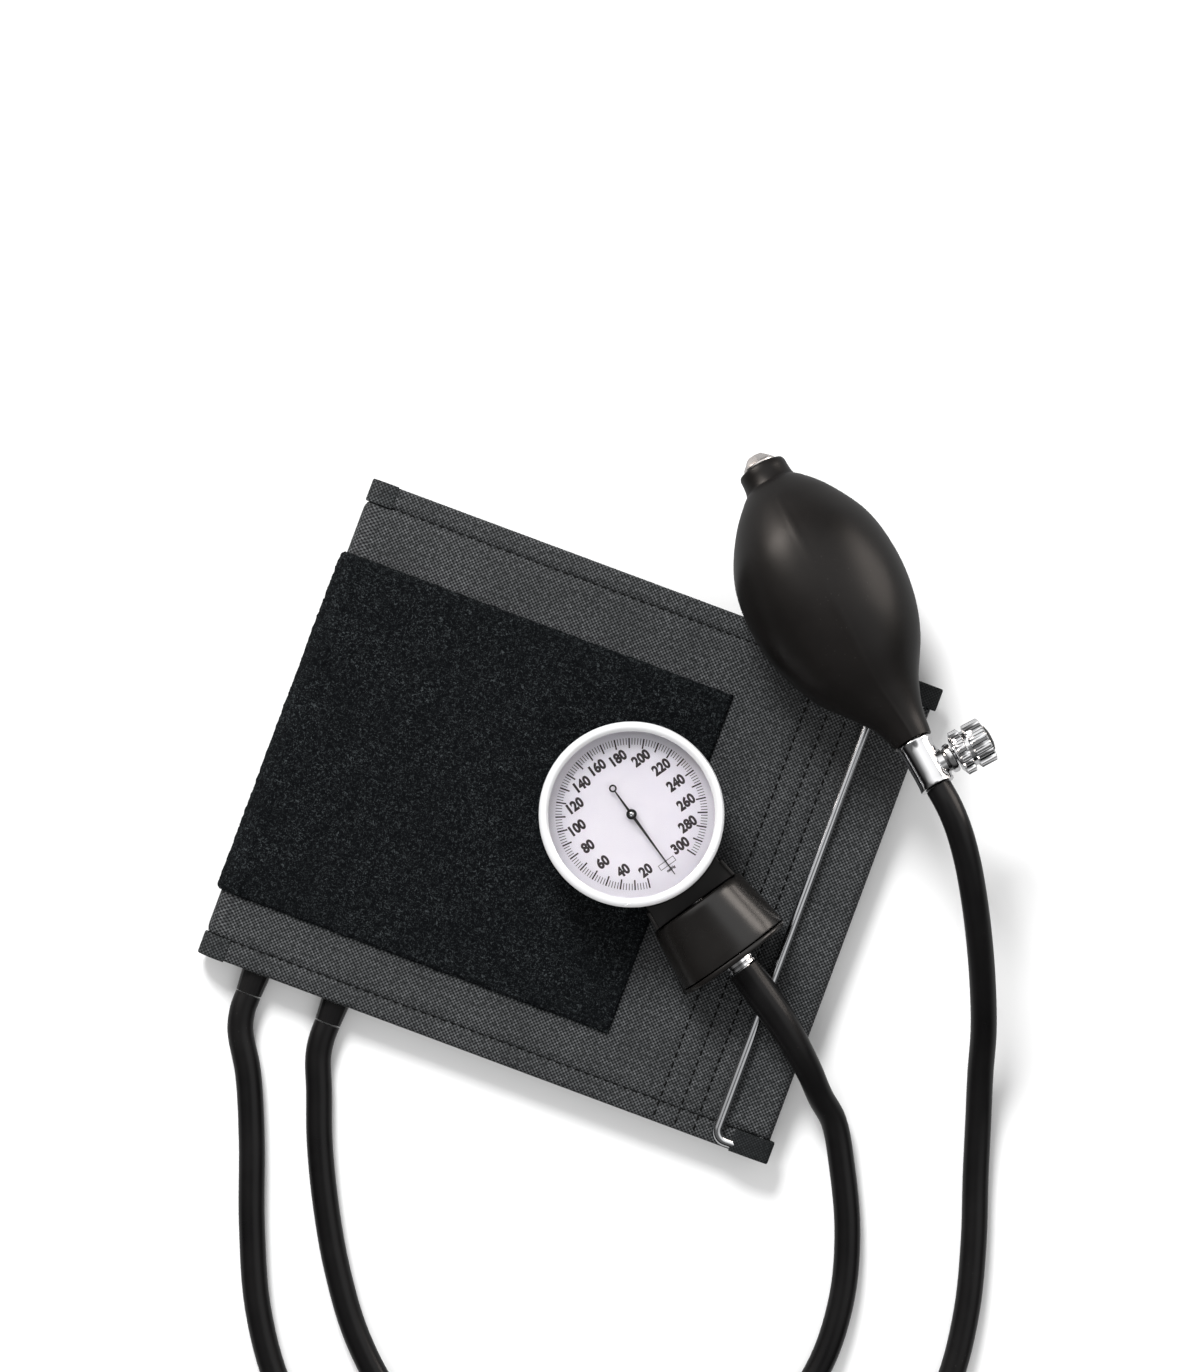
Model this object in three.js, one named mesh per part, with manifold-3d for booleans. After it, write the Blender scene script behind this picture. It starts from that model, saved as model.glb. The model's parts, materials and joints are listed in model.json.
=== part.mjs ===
// Aneroid blood pressure cuff with a D-ring, a dial gauge in its holder, and a hand bulb with
// a release valve. The cuff is rolled in three layers and lies flat; the gauge and the bulb lie
// on it, and two hoses join them to the bladder.
// Millimetres, +Z up. Origin: the middle of the cuff's underside. +X runs along the cuff to
// the ring end, +Y across it.
import * as THREE from "three";
import { mergeVertices } from "three/addons/utils/BufferGeometryUtils.js";
import Module from "manifold-3d";

const wasm = await Module();
wasm.setup();

// ---- driving dimensions -----------------------------------------------------------------
const GAP = 0.3; // between touching pieces

const CUFF = {
  halfWidth: 71.6,
  cloth: 0.8, // nylon, one ply with its coating
  foldHeight: 5.45, // middle height of the left fold
  foldX: -80.05, // centre of the left fold
  tailFoldX: 82.6, // centre of the right fold
  tailEndX: -74,
  topEndX: 49.7, // where the ring sleeve takes over from the panels
  outerTop: 10.5, // mid heights of each ply in the top layer
  bladderTop: 9.1,
  liningTop: 7.7,
  outerTail: 5.4,
  liningTail: 4.3,
};
const CUFF_TOP = CUFF.outerTop + CUFF.cloth / 2;

const BLADDER = { thickness: 1.4, halfWidth: 58, topEndX: 44, bottomEndX: 8, tongue: 12 };
const PORT = { xA: -68, xB: -44, radius: 4.2, length: 6, height: 4.5 };
const PATCH = { endX: 31.8, minY: -52.8, maxY: 50, thickness: 1.4, wrapAngle: 210 };
const HOOK = { minX: -73, maxX: -33, halfWidth: 52, thickness: 0.9 };
const HEM = { width: 6, thickness: 0.6, minX: -80, maxX: 66 };
const RING = { barX: 70.2, sleeveX: 83.05, wire: 1.35, halfLength: 73.6, corner: 3, bevel: 1 };

const HOSE = { radius: 3.75, sides: 10, step: 16, mostSteps: 60 };

const GAUGE = { x: 16.1, y: 8.3, z: 12.9, turn: -33.66 };
const CASE = { radius: 25, wall: 1, floor: 1.2, rim: 17.2, easing: 1 };
const BEZEL = { radius: 26, opening: 23.3, bottom: 14.2, top: 20.6 };
const DIAL = { radius: 23.7, bottom: 14, top: 14.5 };
const CRYSTAL = { radius: 24.2, bottom: 18.4, top: 19.3 };
const GASKET = { inner: 23.5, outer: 24.9, bottom: 17.45, top: 18.1 };
const STEM = { height: 5, radius: 2.4, bore: 1.2, start: 19.8, end: 54 };
const HOLDER = { start: 31, end: 49, halfWidth: 14.75, base: 1.8, shoulder: 5, top: 18.5, flare: 1.16 };
const CAP = { start: 49.3, end: 50.9 };
const COLLAR = { start: 51.2, end: 53.7, radius: 4.6 };
const NECK = { inner: 26.4, halfWidth: 12, flank: 13, bottom: 2.2, top: 13 };
const CLIP = { outline: [[27, -13], [50.6, -18], [50.6, 12], [27, 12]], bottom: 0.2, top: 1.5 };
// The movement, from the floor of the case up.
const CAPSULE = { y: -6, radius: 13, bottom: 3.8, top: 7.4, flat: 2.5, folds: 6, depth: 0.45, slope: 0.9 };
const BLOCK = { from: -3, to: 19.5, riser: 15, halfWidth: 3, bottom: 1.5, middle: 3.5, top: 7.6 };
const PIN = { radius: 0.7, top: 10.2, hole: 1.3 };
const PLATE = { radius: 20, bottom: 8.6, top: 9.4, legRadius: 18, leg: 1.5, legAngles: [20, 90, 160] };
const BRIDGE = { halfX: 10.8, minY: -3.8, maxY: 17, bottom: 12.5, top: 13.2, inset: 1.2, pillar: 1.1 };
const ARBOR = { radius: 0.6, hole: 0.95, bottom: 8.9, pinionTop: 11.4, top: 16.3 };
const GEARS = { pivotY: 13, sector: 11.35, pinion: 1.35, tooth: 0.3, bottom: 10.3, top: 11.1 };
const SECTOR = {
  halfSpread: 28,
  teeth: 24,
  hub: 1.8,
  windowFrom: 4.5,
  windowTo: 9,
  windowHalf: 20,
  rest: -112.1,
};
const ROCKER = { y: -12, z: 10.8, reach: 7, halfLength: 4, radius: 0.6, armHalf: 0.8, earFrom: [-5.3, 4.3] };
const SPRING = { inner: 1.6, outer: 5, turns: 3.5, steps: 50, z: 11.9, half: 0.15 };
const POINTER = {
  tip: 20.8,
  tail: 7.4,
  bottom: 15.6,
  thickness: 0.4,
  hub: 1.7,
  hubTop: 16.7,
  ringInner: 0.65,
  ringOuter: 1.15,
};

const BULB = { x: 16.5, y: 112.4, z: 17.9, heading: -41.15, tilt: 13.5, length: 90, wall: 2.4, bore: 3.75 };
const VALVE = { start: 90.3, end: 104.5, radius: 4.8, spindleAt: 99.2, boss: 8, bore: 1.5, rim: 0.3 };
const CHAMBER = { radius: 2.2, mouth: 1.2, ball: 1.8, length: 5.2, inletBall: 2.9, outletBall: 85.7 };
const FLANGE = { start: -4, end: -0.3, radius: 5, facets: 12 };
const KNOB = { start: 8.4, end: 18.6, radius: 6.5, groove: 5.6, flutes: 18, recess: 4.6, cap: 4.3 };

// ---- finishes -----------------------------------------------------------------------------
const finish = (color, roughness, metalness = 0) =>
  new THREE.MeshStandardMaterial({ color, roughness, metalness });
const nylon = finish(0x3c3e40, 0.75);
const fleece = finish(0x1c2021, 0.95);
const hooks = finish(0x202224, 0.85);
const bladderRubber = finish(0x2e2b29, 0.7);
const bulbRubber = finish(0x262423, 0.45);
const hoseRubber = finish(0x141313, 0.3);
const blackPlastic = finish(0x181617, 0.22);
const chrome = finish(0xd9dbdd, 0.12, 1);
const steel = finish(0xb4b6b8, 0.28, 1);
const brass = finish(0xb98f45, 0.35, 1);
const darkSteel = finish(0x55565a, 0.3, 1);
const glass = finish(0xf2f6f8, 0.05);
const dialPaint = finish(0xebe8f0, 0.5);
const pointerPaint = finish(0x111111, 0.4);
const sealRubber = finish(0x1a1a1a, 0.6);

// ---- helpers --------------------------------------------------------------------------------
const rad = THREE.MathUtils.degToRad;

/** The geometry with position only, shared vertices merged, and its faces pointing out. */
function closed(geometry) {
  const plain = geometry.clone();
  plain.deleteAttribute("normal");
  plain.deleteAttribute("uv");
  const merged = mergeVertices(plain, 1e-4);
  const at = merged.attributes.position;
  const index = Array.from(merged.index.array);
  const corners = [new THREE.Vector3(), new THREE.Vector3(), new THREE.Vector3()];
  const kept = [];
  let volume = 0;
  for (let i = 0; i < index.length; i += 3) {
    const triangle = index.slice(i, i + 3);
    if (new Set(triangle).size < 3) continue;
    corners.forEach((corner, k) => corner.fromBufferAttribute(at, triangle[k]));
    volume += corners[0].dot(corners[1].clone().cross(corners[2]));
    kept.push(triangle);
  }
  merged.setIndex(kept.flatMap(([a, b, c]) => (volume < 0 ? [a, c, b] : [a, b, c])));
  return merged;
}

const solid = (geometry) => {
  const merged = closed(geometry);
  const vertProperties = new Float32Array(merged.attributes.position.array);
  const triVerts = new Uint32Array(merged.index.array);
  return new wasm.Manifold(new wasm.Mesh({ numProp: 3, vertProperties, triVerts }));
};

function shaped(manifold) {
  const mesh = manifold.getMesh();
  const geometry = new THREE.BufferGeometry();
  geometry.setAttribute("position", new THREE.BufferAttribute(mesh.vertProperties, 3));
  geometry.setIndex(Array.from(mesh.triVerts));
  return geometry;
}

/** base joined with every added geometry, less every cut one. */
function carved(base, added = [], cut = []) {
  const joined = added.reduce((sum, geometry) => sum.add(solid(geometry)), solid(base));
  return shaped(cut.reduce((rest, geometry) => rest.subtract(solid(geometry)), joined));
}

/** A mesh with its name and finish. */
function piece(name, geometry, material) {
  const mesh = new THREE.Mesh(closed(geometry), material);
  mesh.name = name;
  return mesh;
}

/** A turned solid about Z from [radius, height] points. */
function turned(points, segments = 32) {
  const profile = points.map(([r, z]) => new THREE.Vector2(r, z));
  return new THREE.LatheGeometry(profile, segments).rotateX(Math.PI / 2);
}

/** A ring or disc about Z between two radii and two heights. */
function washer(inner, outer, bottom, top, segments = 32) {
  const loop = [[inner, bottom], [outer, bottom], [outer, top], [inner, top]];
  return turned(inner > 0 ? [...loop, loop[0]] : loop, segments);
}

/** A box between two corners. */
function box([x0, y0, z0], [x1, y1, z1]) {
  const geometry = new THREE.BoxGeometry(x1 - x0, y1 - y0, z1 - z0);
  return geometry.translate((x0 + x1) / 2, (y0 + y1) / 2, (z0 + z1) / 2);
}

/** A round bar along X from x0 to x1 at (y, z). */
function barX(radius, x0, x1, y, z, segments = 16) {
  const geometry = new THREE.CylinderGeometry(radius, radius, x1 - x0, segments);
  return geometry.rotateZ(Math.PI / 2).translate((x0 + x1) / 2, y, z);
}

/** A round bar along Z. */
function barZ(radius, z0, z1, x, y, segments = 16) {
  const geometry = new THREE.CylinderGeometry(radius, radius, z1 - z0, segments);
  return geometry.rotateX(Math.PI / 2).translate(x, y, (z0 + z1) / 2);
}

/** A flat plate of an XY outline between two heights. */
function plate(shape, bottom, top) {
  const options = { depth: top - bottom, bevelEnabled: false, curveSegments: 12 };
  return new THREE.ExtrudeGeometry(shape, options).translate(0, 0, bottom);
}

/** Cloth of one thickness along a folded line in the XZ plane, from minY to maxY. */
function ribbon(line, thickness, minY, maxY) {
  const sides = [1, -1].map((side) =>
    line.map((point, i) => {
      const before = line[Math.max(i - 1, 0)];
      const after = line[Math.min(i + 1, line.length - 1)];
      const along = after.clone().sub(before).normalize();
      const reach = (side * thickness) / 2;
      return new THREE.Vector2(point.x - along.y * reach, point.y + along.x * reach);
    }),
  );
  const shape = new THREE.Shape([...sides[0], ...sides[1].reverse()]);
  const options = { depth: maxY - minY, bevelEnabled: false };
  return new THREE.ExtrudeGeometry(shape, options).rotateX(Math.PI / 2).translate(0, maxY, 0);
}

/** The middle line of a ply: along the top layer, round the left fold and back along the bottom. */
function rolledLine(topHeight, startX, endX) {
  const path = new THREE.Path();
  const radius = topHeight - CUFF.foldHeight;
  path.moveTo(startX, topHeight);
  path.lineTo(CUFF.foldX, topHeight);
  path.absarc(CUFF.foldX, CUFF.foldHeight, radius, rad(90), rad(270), false);
  path.lineTo(endX, CUFF.foldHeight - radius);
  return path;
}

/** As rolledLine, then round the right fold into the tail, which is tucked in the middle. */
function fullLine(topHeight, tailHeight, startX) {
  const path = rolledLine(topHeight, startX, CUFF.tailFoldX);
  const bottomHeight = 2 * CUFF.foldHeight - topHeight;
  const middle = (bottomHeight + tailHeight) / 2;
  path.absarc(CUFF.tailFoldX, middle, tailHeight - middle, rad(-90), rad(90), false);
  path.lineTo(CUFF.tailEndX, tailHeight);
  return path.getPoints(6);
}

// ---- where the bulb lies ----------------------------------------------------------------------
const bulbOutline = new THREE.SplineCurve(
  [[7.6, 6], [9.8, 7.6], [16.6, 14], [22.4, 26], [24, 39], [22.4, 52], [17.6, 65], [11, 76.5],
    [6.9, 84], [5.5, 90]].map(([r, z]) => new THREE.Vector2(r, z)),
);

/** From the bulb's own frame, local Z along it from its inlet end, to the object's. */
function bulbPlace() {
  const heading = rad(BULB.heading);
  const tilt = rad(BULB.tilt);
  const along = new THREE.Vector3(
    Math.cos(heading) * Math.cos(tilt), Math.sin(heading) * Math.cos(tilt), Math.sin(tilt));
  const across = new THREE.Vector3(-Math.sin(heading), Math.cos(heading), 0);
  const place = new THREE.Matrix4().makeBasis(across, along.clone().cross(across), along);
  return place.setPosition(BULB.x, BULB.y, BULB.z);
}
const bulbFrame = bulbPlace();

/** The piece less a hollow where the bulb presses into the soft cuff. */
function pressed(geometry) {
  const skin = bulbOutline.getPoints(18).map(({ x, y }) => [x + GAP, y]);
  const print = turned([[0, 6], ...skin, [0, BULB.length]], 28);
  return carved(geometry, [], [print.applyMatrix4(bulbFrame)]);
}

// ---- cuff -------------------------------------------------------------------------------------
const panel = (top, tail) =>
  pressed(ribbon(fullLine(top, tail, CUFF.topEndX), CUFF.cloth, -CUFF.halfWidth, CUFF.halfWidth));

function bladder() {
  const line = rolledLine(CUFF.bladderTop, BLADDER.topEndX, BLADDER.bottomEndX).getPoints(6);
  const bag = ribbon(line, BLADDER.thickness, -BLADDER.halfWidth, BLADDER.halfWidth);
  const middle = 2 * CUFF.foldHeight - CUFF.bladderTop;
  const tongues = [PORT.xA, PORT.xB].map((x) =>
    box(
      [x - BLADDER.tongue / 2, -CUFF.halfWidth, middle - BLADDER.thickness / 2],
      [x + BLADDER.tongue / 2, -BLADDER.halfWidth + 1, middle + BLADDER.thickness / 2],
    ),
  );
  return carved(bag, tongues);
}

function tubePort(x) {
  const geometry = new THREE.CylinderGeometry(HOSE.radius, PORT.radius, PORT.length, 20);
  return geometry.rotateX(Math.PI).translate(x, -CUFF.halfWidth - GAP - PORT.length / 2, PORT.height);
}

function loopPatch() {
  const height = CUFF_TOP + GAP + PATCH.thickness / 2;
  const path = new THREE.Path();
  path.moveTo(PATCH.endX, height);
  path.lineTo(CUFF.foldX, height);
  const radius = height - CUFF.foldHeight;
  path.absarc(CUFF.foldX, CUFF.foldHeight, radius, rad(90), rad(PATCH.wrapAngle), false);
  return ribbon(path.getPoints(6), PATCH.thickness, PATCH.minY, PATCH.maxY);
}

function hookPatch() {
  const bottom = CUFF.outerTail + CUFF.cloth / 2 + GAP;
  return box([HOOK.minX, -HOOK.halfWidth, bottom], [HOOK.maxX, HOOK.halfWidth, bottom + HOOK.thickness]);
}

function hem(outerY, side) {
  const bottom = CUFF_TOP + GAP;
  const inner = outerY - side * HEM.width;
  return pressed(box(
    [HEM.minX, Math.min(inner, outerY), bottom],
    [HEM.maxX, Math.max(inner, outerY), bottom + HEM.thickness],
  ));
}

/** The cuff's end, sewn back round the ring's hidden bar. */
function ringSleeve() {
  const round = RING.wire + GAP + CUFF.cloth / 2;
  const start = CUFF.topEndX + GAP;
  const path = new THREE.Path();
  path.moveTo(start, CUFF.outerTop);
  path.lineTo(RING.sleeveX - 7, CUFF.outerTop);
  path.lineTo(RING.sleeveX, CUFF.bladderTop + round);
  path.absarc(RING.sleeveX, CUFF.bladderTop, round, rad(90), rad(-90), true);
  path.lineTo(RING.sleeveX - 7, CUFF.liningTop);
  path.lineTo(start, CUFF.liningTop);
  return pressed(ribbon(path.getPoints(6), CUFF.cloth, -CUFF.halfWidth, CUFF.halfWidth));
}

function roundedRectangle(target, halfX, halfY, corner) {
  target.moveTo(halfX, -halfY + corner);
  target.lineTo(halfX, halfY - corner);
  target.absarc(halfX - corner, halfY - corner, corner, 0, rad(90), false);
  target.lineTo(-halfX + corner, halfY);
  target.absarc(-halfX + corner, halfY - corner, corner, rad(90), rad(180), false);
  target.lineTo(-halfX, -halfY + corner);
  target.absarc(-halfX + corner, -halfY + corner, corner, rad(180), rad(270), false);
  target.lineTo(halfX - corner, -halfY);
  target.absarc(halfX - corner, -halfY + corner, corner, rad(270), rad(360), false);
  return target;
}

/** A flat wire loop: one long bar lies on the cuff, the other runs in the sleeve. */
function dRing() {
  const barHeight = CUFF_TOP + GAP + RING.wire;
  const spanX = RING.sleeveX - RING.barX;
  const spanZ = barHeight - CUFF.bladderTop;
  const halfX = Math.hypot(spanX, spanZ) / 2;
  const wire = RING.wire - RING.bevel;
  const shape = roundedRectangle(
    new THREE.Shape(), halfX + wire, RING.halfLength + wire, RING.corner + wire);
  shape.holes.push(roundedRectangle(
    new THREE.Path(), halfX - wire, RING.halfLength - wire, RING.corner - wire));
  const geometry = new THREE.ExtrudeGeometry(shape, {
    depth: 2 * wire,
    bevelThickness: RING.bevel,
    bevelSize: RING.bevel,
    bevelSegments: 2,
    curveSegments: 3,
  });
  geometry.translate(0, 0, -wire).rotateY(Math.atan2(spanZ, spanX));
  const middleZ = (barHeight + CUFF.bladderTop) / 2;
  return geometry.translate((RING.barX + RING.sleeveX) / 2, 0, middleZ);
}

function cuff() {
  const group = new THREE.Group();
  group.add(
    piece("cuff_outer_panel", panel(CUFF.outerTop, CUFF.outerTail), nylon),
    piece("cuff_lining", panel(CUFF.liningTop, CUFF.liningTail), nylon),
    piece("bladder", bladder(), bladderRubber),
    piece("tube_port_a", tubePort(PORT.xA), bladderRubber),
    piece("tube_port_b", tubePort(PORT.xB), bladderRubber),
    piece("loop_patch", loopPatch(), fleece),
    piece("hook_patch", hookPatch(), hooks),
    piece("top_hem", hem(CUFF.halfWidth, 1), nylon),
    piece("bottom_hem", hem(-CUFF.halfWidth, -1), nylon),
    piece("ring_sleeve", ringSleeve(), nylon),
    piece("d_ring", dRing(), steel),
  );
  return group;
}

// ---- gauge --------------------------------------------------------------------------------------
// Built about its own axis, with local +X along the stem.
const stemBore = (radius, from, to) => barX(radius, from, to, 0, STEM.height, 20);

function gaugeHousing() {
  const { radius, wall, floor, rim, easing } = CASE;
  const cup = turned([[0, 0], [radius - easing, 0], [radius, easing], [radius, rim], [radius - wall, rim],
    [radius - wall, floor], [0, floor]], 48);
  return carved(cup, [], [stemBore(STEM.radius + GAP, STEM.start, HOLDER.start)]);
}

function gaugeBezel() {
  const { radius, opening, bottom, top } = BEZEL;
  const skirt = CASE.radius + GAP;
  return turned([[skirt, bottom], [radius, bottom], [radius + 0.1, bottom + 3], [radius, top - 1.5],
    [radius - 0.6, top - 0.4], [radius - 1.5, top], [opening, top - 0.8], [opening, top - 1],
    [CRYSTAL.radius + GAP, top - 1], [CRYSTAL.radius + GAP, GASKET.top], [skirt, GASKET.top],
    [skirt, bottom]], 44);
}

/** A corrugated bellows of two thin discs, drawn as its outer form. */
function capsule() {
  const { radius, bottom, top, flat, folds, depth, slope } = CAPSULE;
  const middle = (bottom + top) / 2;
  const half = [];
  for (let i = 0; i <= folds; i += 1) {
    const share = i / folds;
    half.push([flat + (radius - flat) * share, top - slope * share - (i % 2 ? depth : 0)]);
  }
  const upper = [[0, top], ...half, [radius + depth, middle]];
  const lower = half.map(([r, z]) => [r, 2 * middle - z]).reverse();
  return turned([...upper, ...lower, [0, bottom]].reverse(), 24).translate(0, CAPSULE.y, 0);
}

function inletBlock() {
  const { from, to, riser, halfWidth, bottom, middle, top } = BLOCK;
  const foot = box([from, CAPSULE.y - halfWidth, bottom], [to, halfWidth, middle]);
  const post = box([riser, -halfWidth, bottom], [to, halfWidth, top]);
  return carved(foot, [post]);
}

function movementPlate() {
  const { radius, bottom, top, legRadius, leg, legAngles } = PLATE;
  const middle = (bottom + top) / 2;
  const disc = washer(0, radius, bottom, top, 32);
  const legs = legAngles.map((angle) =>
    barZ(leg, CASE.floor + GAP, middle, legRadius * Math.cos(rad(angle)), legRadius * Math.sin(rad(angle))));
  const ears = ROCKER.earFrom.map((x) =>
    box([x, ROCKER.y - 1, middle], [x + 1, ROCKER.y + 1, ROCKER.z + 1]));
  const holes = [[PIN.hole, CAPSULE.y], [ARBOR.hole, 0]].map(([r, y]) => barZ(r, bottom - 1, top + 1, 0, y));
  return carved(disc, [...legs, ...ears], holes);
}

function movementBridge() {
  const { halfX, minY, maxY, bottom, top, inset, pillar } = BRIDGE;
  const deck = box([-halfX, minY, bottom], [halfX, maxY, top]);
  const pillars = [minY + inset, maxY - inset].flatMap((y) =>
    [inset - halfX, halfX - inset].map((x) => barZ(pillar, PLATE.top + GAP, (bottom + top) / 2, x, y)));
  const holes = [0, GEARS.pivotY].map((y) => barZ(ARBOR.hole, bottom - 1, top + 1, 0, y));
  return carved(deck, pillars, holes);
}

/** Points of a toothed rim between two angles about (0, 0). */
function teeth(radius, depth, count, from, to) {
  const points = [];
  for (let i = 0; i <= count * 2; i += 1) {
    const angle = rad(from + ((to - from) * i) / (count * 2));
    const r = radius - (i % 2 ? depth : 0);
    points.push(new THREE.Vector2(r * Math.cos(angle), r * Math.sin(angle)));
  }
  return points;
}

/** A toothed quadrant with its hub, standing at the start of its swing. */
function sectorGear() {
  const { halfSpread, hub, windowFrom, windowTo, windowHalf, rest } = SECTOR;
  const rim = teeth(GEARS.sector, GEARS.tooth, SECTOR.teeth, -halfSpread, halfSpread);
  const fan = plate(new THREE.Shape([new THREE.Vector2(-1, 0), ...rim]), GEARS.bottom, GEARS.top);
  const boss = barZ(hub, GEARS.bottom, GEARS.top, 0, 0);
  const pivot = barZ(ARBOR.radius, PLATE.top + GAP, (BRIDGE.bottom + BRIDGE.top) / 2, 0, 0);
  const window = new THREE.Shape();
  window.absarc(0, 0, windowTo, rad(-windowHalf), rad(windowHalf), false);
  window.absarc(0, 0, windowFrom, rad(windowHalf), rad(-windowHalf), true);
  const cut = plate(window, GEARS.bottom - 1, GEARS.top + 1);
  return carved(fan, [boss, pivot], [cut]).rotateZ(rad(rest)).translate(0, GEARS.pivotY, 0);
}

function pinionArbor() {
  const rim = teeth(GEARS.pinion, GEARS.tooth, 10, 0, 360).slice(0, -1);
  const pinion = plate(new THREE.Shape(rim), PLATE.top + GAP, ARBOR.pinionTop);
  return carved(pinion, [barZ(ARBOR.radius, ARBOR.bottom, ARBOR.top, 0, 0, 12)]);
}

function rocker() {
  const { y, z, reach, halfLength, radius, armHalf } = ROCKER;
  const shaft = barX(radius, -halfLength, halfLength, y, z, 12);
  const arm = box([-armHalf, y, z - radius / 2], [armHalf, y + reach, z + radius / 2]);
  return carved(shaft, [arm]);
}

/** A flat spiral round the arbor. */
function hairspring() {
  const { inner, outer, turns, steps, z, half } = SPRING;
  const points = [];
  for (let i = 0; i <= steps; i += 1) {
    const angle = (turns * 2 * Math.PI * i) / steps;
    const r = inner + ((outer - inner) * i) / steps;
    points.push(new THREE.Vector3(r * Math.cos(angle), r * Math.sin(angle), z));
  }
  const section = new THREE.Shape([[-1, -1], [1, -1], [1, 1], [-1, 1]].map(([x, y]) =>
    new THREE.Vector2(x * half, y * half)));
  const extrudePath = new THREE.CatmullRomCurve3(points);
  return new THREE.ExtrudeGeometry(section, { steps, bevelEnabled: false, extrudePath });
}

/** A needle with a round hub and a small ring on its tail, pointing at zero along the stem. */
function gaugePointer() {
  const { tip, tail, bottom, thickness, hub, hubTop, ringInner, ringOuter } = POINTER;
  const blade = new THREE.Shape([[-tail, -0.35], [0, -0.45], [tip, -0.12], [tip, 0.12], [0, 0.45],
    [-tail, 0.35]].map(([x, y]) => new THREE.Vector2(x, y)));
  const top = bottom + thickness;
  const ring = washer(ringInner, ringOuter, bottom, top, 16).translate(-tail - 0.9, 0, 0);
  const boss = barZ(hub, bottom, hubTop, 0, 0, 24);
  const bore = barZ(ARBOR.radius + GAP, bottom - 1, hubTop + 1, 0, 0);
  return carved(plate(blade, bottom, top), [ring, boss], [bore]);
}

function dial() {
  return washer(ARBOR.hole, DIAL.radius, DIAL.bottom, DIAL.top, 48);
}

/** A plate that hugs the case and carries the holder, with the stem's hole. */
function holderNeck() {
  const { inner, halfWidth, flank, bottom, top } = NECK;
  const spread = Math.asin(halfWidth / inner);
  const shape = new THREE.Shape();
  shape.absarc(0, 0, inner, -spread, spread, false);
  shape.lineTo(HOLDER.start - GAP, flank);
  shape.lineTo(HOLDER.start - GAP, -flank);
  return carved(plate(shape, bottom, top), [], [stemBore(STEM.radius + GAP, CASE.radius, HOLDER.end)]);
}

/** A D section standing across the stem: flat below, arched above. */
function dSection(halfWidth, base, shoulder, top) {
  const shape = new THREE.Shape();
  shape.moveTo(-halfWidth, base);
  shape.lineTo(halfWidth, base);
  shape.lineTo(halfWidth, shoulder);
  shape.absellipse(0, shoulder, halfWidth, top - shoulder, 0, Math.PI, false, 0);
  return shape;
}

/** A D section swept along the stem, widening by flare, with the stem's hole. */
function dBody(start, end, flareStart, flareEnd) {
  const shape = dSection(HOLDER.halfWidth, HOLDER.base, HOLDER.shoulder, HOLDER.top);
  const geometry = new THREE.ExtrudeGeometry(shape, {
    depth: end - start, bevelEnabled: false, curveSegments: 14,
  });
  geometry.rotateZ(Math.PI / 2).rotateY(Math.PI / 2).translate(start, 0, 0);
  const at = geometry.attributes.position;
  for (let i = 0; i < at.count; i += 1) {
    const flare = at.getX(i) > (start + end) / 2 ? flareEnd : flareStart;
    at.setY(i, at.getY(i) * flare);
  }
  return carved(geometry, [], [stemBore(STEM.radius + GAP, start - 2, end + 2)]);
}

function holderClip() {
  const shape = new THREE.Shape(CLIP.outline.map(([x, y]) => new THREE.Vector2(x, y)));
  return plate(shape, CLIP.bottom, CLIP.top);
}

function ringX(inner, outer, x0, x1, segments) {
  return washer(inner, outer, x0, x1, segments).rotateY(Math.PI / 2).translate(0, 0, STEM.height);
}

function gauge() {
  const group = new THREE.Group();
  group.position.set(GAUGE.x, GAUGE.y, GAUGE.z);
  group.rotation.z = rad(GAUGE.turn);
  group.add(
    piece("gauge_housing", gaugeHousing(), darkSteel),
    piece("gauge_bezel", gaugeBezel(), chrome),
    piece("gauge_crystal", washer(0, CRYSTAL.radius, CRYSTAL.bottom, CRYSTAL.top, 48), glass),
    piece("crystal_gasket", washer(GASKET.inner, GASKET.outer, GASKET.bottom, GASKET.top, 48), sealRubber),
    piece("gauge_dial", dial(), dialPaint),
    piece("inlet_block", inletBlock(), brass),
    piece("diaphragm_capsule", capsule(), brass),
    piece("push_pin", barZ(PIN.radius, CAPSULE.top + GAP, PIN.top, 0, CAPSULE.y, 12), steel),
    piece("movement_plate", movementPlate(), brass),
    piece("movement_bridge", movementBridge(), brass),
    piece("rocker_shaft", rocker(), steel),
    piece("sector_gear", sectorGear(), brass),
    piece("pinion_arbor", pinionArbor(), steel),
    piece("hairspring", hairspring(), steel),
    piece("gauge_pointer", gaugePointer(), pointerPaint),
    piece("gauge_stem", ringX(STEM.bore, STEM.radius, STEM.start, STEM.end, 20), chrome),
    piece("holder_neck", holderNeck(), blackPlastic),
    piece("gauge_holder", dBody(HOLDER.start, HOLDER.end, 1, HOLDER.flare), blackPlastic),
    piece("holder_end_cap", dBody(CAP.start, CAP.end, HOLDER.flare, HOLDER.flare), blackPlastic),
    piece("holder_clip", holderClip(), darkSteel),
    piece("stem_collar", ringX(STEM.radius + GAP, COLLAR.radius, COLLAR.start, COLLAR.end, 24), chrome),
  );
  return group;
}

// ---- bulb and release valve -----------------------------------------------------------------------
// Built about local Z from the inlet end, then laid along the bulb's own axis. Local +X is the
// spindle's direction.
function bulb() {
  const outer = [[7, 0], ...bulbOutline.getPoints(18).map(({ x, y }) => [x, y])];
  const inner = outer
    .filter(([r, z]) => z > 7 && r - BULB.wall > BULB.bore)
    .map(([r, z]) => [r - BULB.wall, z])
    .reverse();
  const loop = [[BULB.bore, 0], ...outer, [BULB.bore, BULB.length], ...inner, [BULB.bore, 7.5],
    [BULB.bore, 0]];
  return turned(loop, 28);
}

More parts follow.
